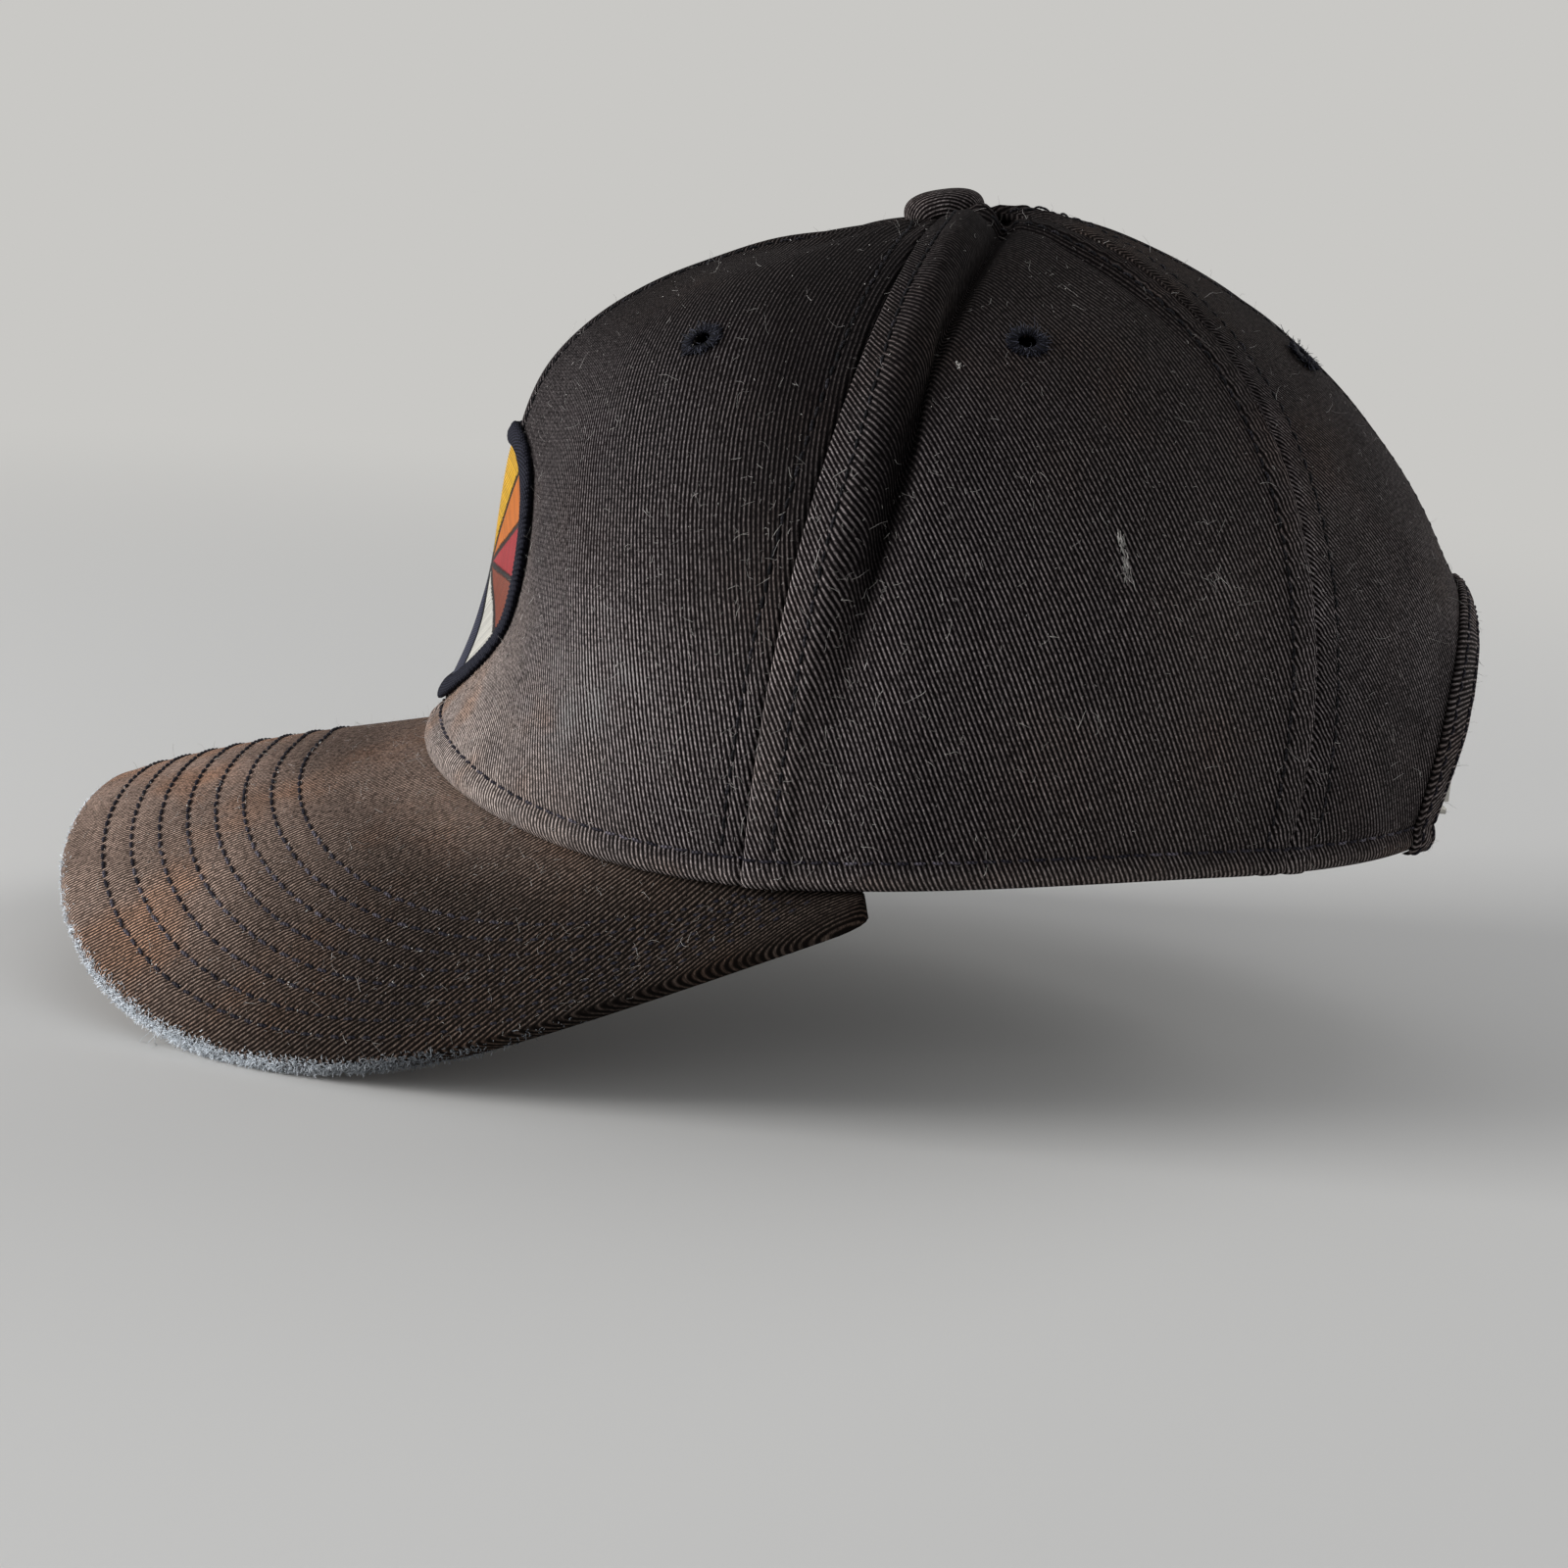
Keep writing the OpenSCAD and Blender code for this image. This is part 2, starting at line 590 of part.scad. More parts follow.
// Lever that clamps the strap, hinged on the pin, with rings of teeth round its jaw
module buckle_lever() color(steel) at_strap(buckle_angle) translate([pin_x, pin_y, 0])
    difference() {
        half_h = buckle_half_h - lever_side_room;
        core_r = barrel_r - jaw_tooth;
        teeth = [for (k = [0:2 * jaw_teeth])
            [core_r + (k % 2) * jaw_tooth, mix(-half_h, half_h, k / (2 * jaw_teeth))]];
        union() {
            rotate_extrude() polygon(concat([[0, -half_h]], teeth, [[0, half_h]]));
            translate([-lever_l, core_r - lever_t, -half_h]) cube([lever_l, lever_t, 2 * half_h]);
        }
        cylinder(d = pin_d + 2 * running, h = 3 * half_h, center = true);
    }

// Cloth loop from the buckle's bar to the right back panel
module buckle_keeper() color(twill) {
    keeper_h = strap_w - 2 * buckle_side_room;
    wrap_r = pin_d / 2 + running + keeper_t;
    edge_a = half_turn - asin(arch_w / 2 / half_w) - arc_angle(hem_w / 2, half_w);
    share = t_at(half_turn, strap_z + strap_w / 2);
    angles = [for (k = [0:4]) mix(edge_a + arc_angle(hem_w, half_w),
        edge_a - arc_angle(keeper_reach, half_w), k / 4)];
    path = function(out) [for (a = angles) let(p = crown(a, share, -out)) [p.x, p.y]];
    turn = -buckle_angle;
    bar = [cos(turn) * bar_x - sin(turn) * (strap_mid_r + pin_y),
        strap_cy + sin(turn) * bar_x + cos(turn) * (strap_mid_r + pin_y)];
    outward = (bar - [0, strap_cy]) / norm(bar - [0, strap_cy]);
    outer = path(keeper_out + keeper_t);
    inner = path(keeper_out);
    on_right() translate([0, 0, strap_z - keeper_h / 2]) difference() {
        union() {
            linear_extrude(keeper_h) polygon(concat([bar + outward * wrap_r], outer,
                [for (k = [len(inner) - 1:-1:0]) inner[k]], [bar]));
            translate(bar) cylinder(r = wrap_r, h = keeper_h);
        }
        translate(bar) cylinder(d = pin_d + 2 * running, h = 3 * keeper_h, center = true);
    }
}

// Hook-and-loop pairs: the loop side on the cap, the hook side on the shell
module tab(place, outer, inner) {
    half = arc_angle(tab_w / 2, norm(crown(place[0], t_at(place[0], place[1]))
        - [0, apex_y, place[1]]));
    crown_band([place[0] - half, place[0] + half], [place[1] - tab_h / 2, place[1] + tab_h / 2],
        2, 3, outer, inner);
}
module loop_tabs() color(lining) both_sides() for (place = tab_places)
    tab(place, lining_in, loop_in);
module hook_tabs() color(lining) both_sides() for (place = tab_places)
    tab(place, hook_out, hook_in);

// Height of the shell's lower edge, higher over the opening at the back
function edge_z(a) = mix(shell_edge_z, shell_back_z,
    ease((around(a) - shell_rise_angle) / shell_rise_span));

module vent(place) on_crown(place[0], t_at(place[0], place[1]), shell_out + shell_t / 2)
    linear_extrude(4 * shell_t, center = true) {
        straight = vent_l - vent_w;
        square([straight, vent_w], center = true);
        for (side = [-1, 1]) translate([side * straight / 2, 0]) circle(d = vent_w);
    }
module impact_shell() color(hard) difference() {
    crown_cup(function(a) t_at(a, edge_z(a)), shell_rows, shell_out, shell_in);
    both_sides() for (place = vent_places) vent(place);
}
module shell_edge_trim() color(foam) crown_ring(function(a) edge_z(a) - trim_h,
    function(a) edge_z(a) - shell_gap, shell_out, shell_in);

module crown_pad() color(foam) crown_cup(function(a) crown_pad_share, 3, pad_out, pad_in);
module front_pad() color(foam) crown_band([-front_pad_angle, front_pad_angle], front_pad_z,
    3, 8, pad_out, pad_in);
module side_pad() crown_band(side_pad_angles, side_pad_z, 3, 6, pad_out, pad_in);
module side_pad_left() color(foam) side_pad();
module side_pad_right() color(foam) mirror([1, 0, 0]) side_pad();
module rear_pad() color(foam) crown_band([half_turn - rear_pad_angle, half_turn + rear_pad_angle],
    rear_pad_z, 3, 8, pad_out, pad_in);

front_panel_left();
front_panel_right();
side_panel_left();
side_panel_right();
back_panel_left();
back_panel_right();
front_stiffener();
seam_tapes();
sweatband();
arch_hem();
eyelets();
top_button();
button_rivet();
visor_top_cover();
visor_board();
visor_under_cover();
badge_disc();
badge_border();
loop_tabs();
buckle_frame();
buckle_pin();
buckle_keeper();
buckle_lever();
closure_strap();
impact_shell();
shell_edge_trim();
crown_pad();
front_pad();
side_pad_left();
side_pad_right();
rear_pad();
hook_tabs();
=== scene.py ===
# %% [markdown]
# # A worn baseball-style bump cap
# The CAD frame gives each piece its place, its size and the body it moves with. This script
# gives the pieces their looks: six faded twill panels, a stitched visor, a sewn badge, a strap
# with a metal buckle and, hidden in the crown, a hard insert with foam pads.
# Formulas are in millimetres. Angles are in degrees round the crown from the centre front,
# positive towards the wearer's left, and t is the share of the way from the rim to the top.

import bpy
import numpy as np
from mathutils import Matrix, Vector


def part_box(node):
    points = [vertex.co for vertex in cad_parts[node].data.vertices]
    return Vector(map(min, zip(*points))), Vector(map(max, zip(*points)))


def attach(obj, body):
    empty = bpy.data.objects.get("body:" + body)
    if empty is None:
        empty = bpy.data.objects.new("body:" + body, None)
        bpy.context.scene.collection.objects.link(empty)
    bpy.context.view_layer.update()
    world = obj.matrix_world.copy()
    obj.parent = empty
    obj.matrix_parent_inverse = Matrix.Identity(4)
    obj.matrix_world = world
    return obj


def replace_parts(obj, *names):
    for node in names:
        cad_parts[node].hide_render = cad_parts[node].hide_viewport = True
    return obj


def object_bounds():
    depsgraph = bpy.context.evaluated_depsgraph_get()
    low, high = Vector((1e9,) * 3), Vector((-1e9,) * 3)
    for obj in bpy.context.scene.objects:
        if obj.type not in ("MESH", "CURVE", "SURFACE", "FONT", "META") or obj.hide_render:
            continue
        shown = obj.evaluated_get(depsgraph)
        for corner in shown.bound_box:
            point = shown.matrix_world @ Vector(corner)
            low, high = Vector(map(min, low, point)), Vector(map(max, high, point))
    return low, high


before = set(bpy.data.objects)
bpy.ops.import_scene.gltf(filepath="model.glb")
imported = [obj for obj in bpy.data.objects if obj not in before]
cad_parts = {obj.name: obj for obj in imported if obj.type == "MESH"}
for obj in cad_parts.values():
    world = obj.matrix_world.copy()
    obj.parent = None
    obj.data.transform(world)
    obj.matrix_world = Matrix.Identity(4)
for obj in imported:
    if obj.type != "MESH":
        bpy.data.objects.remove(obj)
cad_box = [list(corner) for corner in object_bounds()]
rng = np.random.default_rng(11)
MM = 0.001
print("CAD box", [[round(v, 4) for v in corner] for corner in cad_box])


# %% [markdown]
# ## Meshes from formulas
# Each surface is a function of two parameters, evaluated on a whole grid at once. Cloth could be
# made as a plane with a Solidify modifier, but then its edge stays square. Two sheets of points
# that share their faces, closed along every free edge, let the two faces differ and also close
# the holes that are cut into them.

# %% Mesh helpers
def grid(rows, cols, around=False):
    """Quads of a grid of rows x cols points; with around the last column joins the first."""
    r, c = np.meshgrid(np.arange(rows - 1), np.arange(cols if around else cols - 1), indexing="ij")
    n = (c + 1) % cols
    return np.stack([r * cols + c, r * cols + n, (r + 1) * cols + n, (r + 1) * cols + c],
                    -1).reshape(-1, 4)


def torus(rows, cols):
    """Quads of a grid of points that joins up both ways."""
    return grid(rows + 1, cols, True) % (rows * cols)


def solid(outer, inner, quads):
    """Points and quads of the closed body between two sheets that share their quads."""
    outer, inner = outer.reshape(-1, 3), inner.reshape(-1, 3)
    n = len(outer)
    a, b = quads.ravel(), np.roll(quads, -1, axis=1).ravel()
    free = ~np.isin(a * n + b, b * n + a)
    a, b = a[free], b[free]
    walls = np.stack([b, a, a + n, b + n], -1)
    return np.concatenate([outer, inner]), np.concatenate([quads, quads[:, ::-1] + n, walls])


def joined(parts):
    """Several bodies as one: points, quads and flat coordinates one after another."""
    points, quads, uv = zip(*parts)
    starts = np.cumsum([0] + [len(p) for p in points[:-1]])
    moved = [q + start for q, start in zip(quads, starts)]
    return np.concatenate(points), np.concatenate(moved), np.concatenate(uv)


def both(values):
    """Values on the points of one sheet, repeated for the second sheet of its solid."""
    return np.concatenate([values, values])


def marks(**values):
    """Named values of a cloth from 0 to 1, for both of its sheets."""
    return {key: both(np.clip(value, 0, 1)) for key, value in values.items()}


def mesh(name, points, quads, uv=None, **values):
    """A smooth mesh in metres, with a UV map in millimetres and one number per point and value."""
    points = np.reshape(points, (-1, 3))
    data = bpy.data.meshes.new(name)
    data.vertices.add(len(points))
    data.vertices.foreach_set("co", (np.asarray(points, float) * MM).ravel())
    data.loops.add(quads.size)
    data.loops.foreach_set("vertex_index", quads.ravel().astype(np.int32))
    data.polygons.add(len(quads))
    data.polygons.foreach_set("loop_start", np.arange(0, quads.size, 4, dtype=np.int32))
    data.polygons.foreach_set("use_smooth", np.ones(len(quads), bool))
    data.update(calc_edges=True)
    if uv is not None:
        data.uv_layers.new(name="UVMap").uv.foreach_set(
            "vector", uv.reshape(-1, 2)[quads.ravel()].astype(np.float32).ravel())
    for key, value in values.items():
        data.attributes.new(key, "FLOAT", "POINT").data.foreach_set(
            "value", np.asarray(value, np.float32).ravel())
    return data


def piece(name, shape, material, slot, body="cap", nodes=(), **values):
    """A piece of the cap from (points, quads, uv): it rides on a body and stands for CAD nodes."""
    made = bpy.data.objects.new(name, mesh(name, *shape, **values))
    bpy.context.scene.collection.objects.link(made)
    made.data.materials.append(material)
    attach(made, body)
    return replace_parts(made, *nodes) if nodes else made


print("quads of a ring of 4 x 6 points, open and closed:", len(grid(4, 6, True)), len(torus(4, 6)))


# %% Small formulas
def smooth(low, high, x):
    """0 below low, 1 above high, 3s^2 - 2s^3 between."""
    s = np.clip((x - low) / (high - low), 0, 1)
    return s * s * (3 - 2 * s)


def hill(x, middle, width):
    """exp(-((x - middle) / width)^2)"""
    return np.exp(-(((x - middle) / width) ** 2))


def noise(p, size, seed=0):
    """Smooth noise from -1 to 1 with blobs of about size mm: hashed lattice values, mixed."""
    q = p / size + seed * 17.3
    i = np.floor(q)
    f = (q - i) ** 2 * (3 - 2 * (q - i))
    total = 0
    for corner in np.ndindex(2, 2, 2):
        k = i + corner
        h = np.sin(k @ [127.1, 311.7, 74.7] + seed) * 43758.5453 % 1
        total = total + h * np.prod(np.where(corner, f, 1 - f), axis=-1)
    return 2 * total - 1


def run(points, axis):
    """Length in mm along a grid of points, from the start of the axis."""
    step = np.linalg.norm(np.diff(points, axis=axis), axis=-1)
    pad = [(0, 0)] * step.ndim
    pad[axis] = (1, 0)
    return np.pad(np.cumsum(step, axis=axis), pad)


def area(points, quads):
    """Half of a closed body's surface in square metres: the area of its cloth."""
    p = points[quads] * MM
    return np.linalg.norm(np.cross(p[:, 2] - p[:, 0], p[:, 3] - p[:, 1]), axis=-1).sum() / 4


def unit(v):
    """Vectors of length 1."""
    return v / np.linalg.norm(v, axis=-1, keepdims=True)


def signed_power(x, power):
    """|x|^power with the sign of x: makes a circle squarer or a wave blunter."""
    return np.sign(x) * np.abs(x) ** power


def turned(x, y, c, s):
    """Flat coordinates turned by the angle whose cosine is c and whose sine is s."""
    return np.stack([x * c + y * s, y * c - x * s], -1)


def mirrored(points, side):
    """Points or directions of the left half as they are for side 1, mirrored for side -1."""
    return points * [side, 1, 1]


def gathered(n, pull):
    """n shares from 0 to 1, closer together near both ends."""
    u = np.linspace(0, 1, n)
    return u - pull * np.sin(2 * np.pi * u) / (2 * np.pi)


probe = noise(np.arange(3000.0).reshape(-1, 3), 7)
print("noise runs from", round(probe.min(), 2), "to", round(probe.max(), 2))


# %% [markdown]
# ## The crown and the visor
# The crown is a family of upright outlines, one Bezier curve each for the front, the side and
# the back, mixed by squared sines round two half ellipses. It is the CAD formula, so the looks
# lie on the CAD faces. Scanned or sculpted shapes would be possible, but a formula can also be
# asked for its normals, for lines on it and for the place of a stitch.

# %% Crown formula
HALF_W, FRONT, BACK, HEIGHT = 86.0, 92.0, 104.0, 112.0
APEX_Y = (FRONT - BACK) / 2
CLOTH = 1.0
OUTLINES = np.array([[[0.66, 0.484], [1.22, 0.815]], [[1.06, 0.552], [0.66, 1.014]],
                     [[1.16, 0.524], [0.51, 1.113]]])


def ease(x):
    """Half a cosine wave from 0 to 1."""
    return (1 - np.cos(np.pi * np.clip(x, 0, 1))) / 2


def rim_z(a):
    """Height of the rim: 7 mm at the front, 0 at the temples, 6.4 mm behind the ears."""
    a = np.degrees(np.arccos(np.cos(np.radians(a))))
    return np.where(a < 67, 7 * (1 - ease(a / 67)), 6.4 * ease((a - 67) / 58))


def shares(a, t):
    """Shares of the reach and of the height: three Bezier outlines, mixed by squared sines."""
    c, s = np.cos(np.radians(a)), np.sin(np.radians(a))
    weights = (np.maximum(c, 0) ** 2, s ** 2, np.maximum(-c, 0) ** 2)
    k1, k2 = 3 * t * (1 - t) ** 2, 3 * t * t * (1 - t)
    out = sum(w * ((1 - t) ** 3 + p[0, 0] * k1 + p[1, 0] * k2) for w, p in zip(weights, OUTLINES))
    up = sum(w * (p[0, 1] * k1 + p[1, 1] * k2 + t ** 3) for w, p in zip(weights, OUTLINES))
    return out, up


def ridge_fall(a, t):
    """Fall of the front beside its ridge: 6 sin x (1 + cos x) / 1.3, x = 3|a| up to 60 degrees."""
    x = np.radians(np.minimum(3 * np.abs(a), 180))
    return 6 * ease(t / 0.2) * np.sin(x) * (1 + np.cos(x)) / 1.299


def crown(a, t, inset=0.0):
    """[(W-i) sin a out, y0 - (R-i) cos a out, (H-i) up + rim (1-t)^2]"""
    c, s = np.cos(np.radians(a)), np.sin(np.radians(a))
    out, up = shares(a, t)
    reach = np.where(c > 0, FRONT - ridge_fall(a, t), BACK) - inset
    return np.stack([(HALF_W - inset) * s * out, APEX_Y - reach * c * out,
                     (HEIGHT - inset) * up + rim_z(a) * (1 - t) ** 2], -1)


def crown_normal(a, t):
    """Outward direction: dP/da x dP/dt."""
    t = np.clip(t, 0.004, 0.99)
    return unit(np.cross(crown(a + 0.4, t) - crown(a - 0.4, t),
                         crown(a, t + 0.004) - crown(a, t - 0.004)))


def stretch(a, t):
    """Millimetres per degree round the crown."""
    return np.linalg.norm(crown(a + 0.5, t) - crown(a - 0.5, t), axis=-1)


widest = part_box("side_panel_left")[1].x / MM
probe = crown(np.linspace(76, 130, 40), np.zeros(40))
print("side panel, CAD and formula, widest x", round(widest, 2), round(probe[:, 0].max(), 2))


# %% Places on the crown
def t_at(a, z, inset=0.0):
    """Share up at which the crown reaches height z, by halving."""
    low, high = np.zeros(np.broadcast(a, z).shape), np.full(np.broadcast(a, z).shape, 0.8)
    for _ in range(24):
        mid = (low + high) / 2
        under = crown(a + 0 * mid, mid, inset)[..., 2] < z
        low, high = np.where(under, mid, low), np.where(under, high, mid)
    return (low + high) / 2


def locate(x, z, back):
    """Angle and share of the crown's front or back point seen at (x, z), by repeated solving."""
    a = np.degrees(np.arcsin(np.clip(x / HALF_W, -1, 1)))
    a = 180 - a if back else a
    for _ in range(14):
        t = t_at(a, z)
        s = np.degrees(np.arcsin(np.clip(x / (HALF_W * shares(a, t)[0]), -1, 1)))
        a = 180 - s if back else s
    return a, t


print("share of the way up at 40 mm, front and back:", t_at(np.array([0.0, 180.0]), 40.0).round(3))


# %% Seams
def centre_front(t):
    """Angle of the seam between the front panels."""
    return 0 * t


def front_seam(t):
    """Angle of the seam between front and side panel."""
    return 75.2 + 9.8 * np.maximum(t, 0) ** 1.5


def back_seam(t):
    """Angle of the seam between side and back panel."""
    return 131.3 + 21 * np.maximum(t, 0) ** 1.5


def centre_back(t):
    """Angle of the seam between the back panels."""
    return 180 + 0 * t


print("seams at the rim:", front_seam(0), "and", back_seam(0), "degrees from the front")


# %% Visor formula
TIP_Y = APEX_Y - FRONT - 65.4
VISOR_T = 3.6
VISOR_HALF_W, VISOR_END_Y, VISOR_ROUND = 91, -4, 98


def visor_back(y):
    """Place along the visor: 0 at its tip, 1 at its rear ends."""
    return (y - TIP_Y) / (VISOR_END_Y - TIP_Y)


def arch_share(back):
    """Share of the visor's arch at a place along it: 1 - 1.14 b^1.05."""
    return 1 - 1.14 * np.abs(back) ** 1.05


def visor_edge(a):
    """Outer edge: a squared oval in plan, dropped by the arch R - sqrt(R^2 - x^2) and levelled."""
    s, c = np.sin(np.radians(a)), np.cos(np.radians(a))
    x = VISOR_HALF_W * signed_power(s, 0.625)
    y = VISOR_END_Y + (TIP_Y - VISOR_END_Y) * np.abs(c) ** 0.625
    back = visor_back(y)
    arch = VISOR_ROUND - np.sqrt(VISOR_ROUND ** 2 - x ** 2)
    z = -11 + 3 * back - arch * arch_share(back)
    end = crown(np.sign(a) * 90, 0 * a, -4) - [0, 0, 1.5]
    close = ease((np.abs(a) - 74) / 16)[..., None]
    return np.stack([x, y, z], -1) * (1 - close) + end * close


def visor(a, u):
    """Top face: straight from the seam to the edge, with a bow of 4 b u (1-u) cos a."""
    seam = crown(a, 0 * a, 3.0) - [0, 0, 0.3]
    p = seam + (visor_edge(a) - seam) * u[..., None]
    p[..., 2] += 8.8 * u * (1 - u) * np.cos(np.radians(a))
    return p


def visor_normal(a, u):
    """Upward direction of the visor: dP/du x dP/da."""
    return unit(np.cross(visor(a, u + 0.02) - visor(a, u - 0.02),
                         visor(a + 0.5, u) - visor(a - 0.5, u)))


def visor_reach(a):
    """Length of the visor from its seam to its edge at an angle."""
    return np.linalg.norm(visor_edge(a) - visor(a, 0 * a), axis=-1)


print("visor", round(float(visor_reach(np.zeros(1))[0]), 1), "mm from its seam to its tip")


# %% [markdown]
# ## Materials
# A small class lets shader numbers be added and multiplied like plain numbers, so that a pattern
# reads as its formula. The twill is such a pattern: slanted ribs less than 1 mm apart, each a row of
# short yarn floats. It could be modelled thread by thread, which would take millions of faces; as
# a bump and a colour on the cloth's own flat coordinates it follows each panel's cut.

# %% Numbers in a shader
class Value:
    """A number in a shader: arithmetic on it adds Math nodes."""

    def __init__(self, shader, socket):
        self.shader, self.socket = shader, socket

    def __add__(self, b):
        return self.shader.math("ADD", self, b)

    def __sub__(self, b):
        return self.shader.math("SUBTRACT", self, b)

    def __rsub__(self, b):
        return self.shader.math("SUBTRACT", b, self)

    def __mul__(self, b):
        return self.shader.math("MULTIPLY", self, b)

    def __truediv__(self, b):
        return self.shader.math("DIVIDE", self, b)

    def __pow__(self, b):
        return self.shader.math("POWER", self, b)

    def __abs__(self):
        return self.shader.math("ABSOLUTE", self)

    __radd__, __rmul__ = __add__, __mul__

    def call(self, operation, *others):
        """Any other operation of the Math node."""
        return self.shader.math(operation, self, *others)

    def capped(self, top=1.0):
        """The number, but never above top."""
        return self.call("MINIMUM", top)

    def smooth(self, low, high):
        """0 at low, 1 at high, eased; low may be above high."""
        node = self.shader.node("MapRange", dict(interpolation_type="SMOOTHSTEP"),
                                {0: self, 1: low, 2: high, 3: 0.0, 4: 1.0})
        return Value(self.shader, node.outputs[0])


# %% A material and its nodes
class Shader:
    """A material and the few calls that build its nodes."""

    def __init__(self, name, **constants):
        self.material = bpy.data.materials.new(name)
        self.material.use_nodes = True
        self.tree = self.material.node_tree
        self.surface = self.tree.nodes["Principled BSDF"]
        for key, value in constants.items():
            self.put(self.surface.inputs[key.replace("_", " ")], value)

    def put(self, socket, value):
        """Link a socket or a Value to a socket, or set it to a constant."""
        value = value.socket if isinstance(value, Value) else value
        if isinstance(value, bpy.types.NodeSocket):
            self.tree.links.new(value, socket)
        elif socket.type == "RGBA" and np.size(value) == 3:
            socket.default_value = (*value, 1)
        else:
            socket.default_value = value

    def node(self, kind, settings=None, sockets=None):
        """A shader node with its settings and inputs."""
        node = self.tree.nodes.new("ShaderNode" + kind)
        for key, value in (settings or {}).items():
            setattr(node, key, value)
        for key, value in (sockets or {}).items():
            self.put(node.inputs[key], value)
        return node

    def math(self, operation, *values):
        """The Value of a Math node."""
        node = self.node("Math", dict(operation=operation), dict(enumerate(values)))
        return Value(self, node.outputs[0])

    def uv(self):
        """The UV map as a vector and as two numbers, in millimetres."""
        vector = self.node("UVMap", dict(uv_map="UVMap")).outputs[0]
        parts = self.node("SeparateXYZ", None, {0: vector}).outputs
        return vector, Value(self, parts[0]), Value(self, parts[1])

    def place(self):
        """Place on the object in metres."""
        return self.node("TexCoord").outputs["Object"]

    def noise(self, vector, scale, detail=2.0, rough=0.5):
        """Noise from 0 to 1, with so many blobs per unit of the vector."""
        node = self.node("TexNoise", None, {"Vector": vector, "Scale": scale, "Detail": detail,
                                           "Roughness": rough})
        return Value(self, node.outputs[0])

    def seen(self):
        """1 for rays from the camera, from mirrors and through glass, else 0."""
        path = self.node("LightPath").outputs
        rays = [Value(self, path[f"Is {k} Ray"]) for k in ("Camera", "Glossy", "Transmission")]
        return (rays[0] + rays[1] + rays[2]).capped()

    def value(self, name):
        """A number stored on the mesh's points."""
        return Value(self, self.node("Attribute", dict(attribute_name=name)).outputs["Fac"])

    def mix(self, share, a, b):
        """Colour a at share 0, b at share 1."""
        return self.node("Mix", dict(data_type="RGBA"), {0: share, 6: a, 7: b}).outputs[2]

    def scaled(self, vector, x, y, z):
        """A vector with each of its parts multiplied."""
        return self.node("VectorMath", dict(operation="MULTIPLY"),
                         {0: vector, 1: (x, y, z)}).outputs[0]

    def finish(self, colour, height=None, depth=0.0001, roughness=None):
        """Feed the surface: colour, a bump of some depth in metres, and a roughness."""
        self.put(self.surface.inputs["Base Color"], colour)
        if roughness is not None:
            self.put(self.surface.inputs["Roughness"], roughness)
        if height is not None:
            bump = self.node("Bump", None, {"Height": height, "Distance": depth, "Strength": 1.0})
            self.put(self.surface.inputs["Normal"], bump.outputs[0])
        return self.material


# %% Colours
def paint(code):
    """Linear colour of a hex sRGB code."""
    c = np.array([int(code[k:k + 2], 16) for k in (0, 2, 4)]) / 255
    return tuple(np.where(c <= 0.04045, c / 12.92, ((c + 0.055) / 1.055) ** 2.4))


def tinted(colour, share):
    """A colour times one share, or times a share for each of its parts."""
    return tuple(np.array(colour) * share)


print("the grey 808080 in linear light:", round(paint("808080")[0], 3))


# %% Twill
TURN = 6.28318  # radians in a full turn
RUST = (1.1, 0.88, 0.72)
CROWN_RIB, VISOR_RIB = 0.78, 0.67
TWILL_DEPTH = 0.0002


def twill(name, valley, top, faded, pale, pitch):
    """Ribs across U and floats along V, painted dark between the ribs; values on the mesh's points
    fade and rub its colour and paint shade on it.
    """
    s = Shader(name, Roughness=0.95, Specular_IOR_Level=0.04)
    vector, u, v = s.uv()
    wander = (s.noise(vector, 0.04) - 0.5) * 1.5 + (s.noise(vector, 0.5, 1) - 0.5) * 0.16
    phase = u / pitch + wander
    rib = (1 - abs(phase.call("FRACT") * 2 - 1)).smooth(0.18, 0.92)
    lean = v / 0.9 + phase.call("FLOOR") * 0.37 + phase.call("FRACT") * 0.55
    float_end = ((lean * TURN).call("COSINE") * 0.5 + 0.5).smooth(0.0, 0.5)
    lint = s.noise(s.scaled(vector, 3.2, 1.1, 1), 1.0, 3, 0.65)
    grain = s.noise(vector, 2.6, 3, 0.7)
    fibre = s.noise(s.scaled(vector, 2.5, 1.0, 1), 1.0, 4, 0.75).smooth(0.32, 0.74)
    height = rib * (0.72 + 0.28 * float_end) + (grain - 0.5) * 0.55
    fade, wear, dark = s.value("fade"), s.value("wear"), s.value("dark")
    # Painted shade: the colour stays dark between the ribs, and the mesh's dark value dims the rib
    # tops.
    lit = rib ** 2 * (0.6 + 0.4 * float_end) * (0.1 + 1.7 * fibre) * (1 - 0.85 * dark)
    colour = s.mix((lit * (0.5 + 1.4 * wear)).capped(), valley, top)
    patch = s.noise(s.place(), 45, 3, 0.6).smooth(0.3, 0.75)
    stain = s.noise(s.place(), 42, 3, 0.6).smooth(0.46, 0.7)
    bleach_and_glint = s.mix(stain, faded, tinted(faded, RUST))
    peak = (rib ** 1.5 * (0.1 + 1.6 * fibre)).capped()
    colour = s.mix((fade * (0.75 + 0.5 * patch)).capped(), colour,
                   s.mix(peak, tinted(faded, 0.07), bleach_and_glint))
    dusty = (lint * 1.3 + rib * 0.5 + wear * 1.2 - 1.55).smooth(0.0, 0.5) * (1 - 0.7 * dark)
    colour = s.mix((dusty * (0.1 + wear)).capped(0.85), colour, s.mix(fibre, tinted(pale, 0.4), pale))
    return s.finish(colour, height, TWILL_DEPTH)


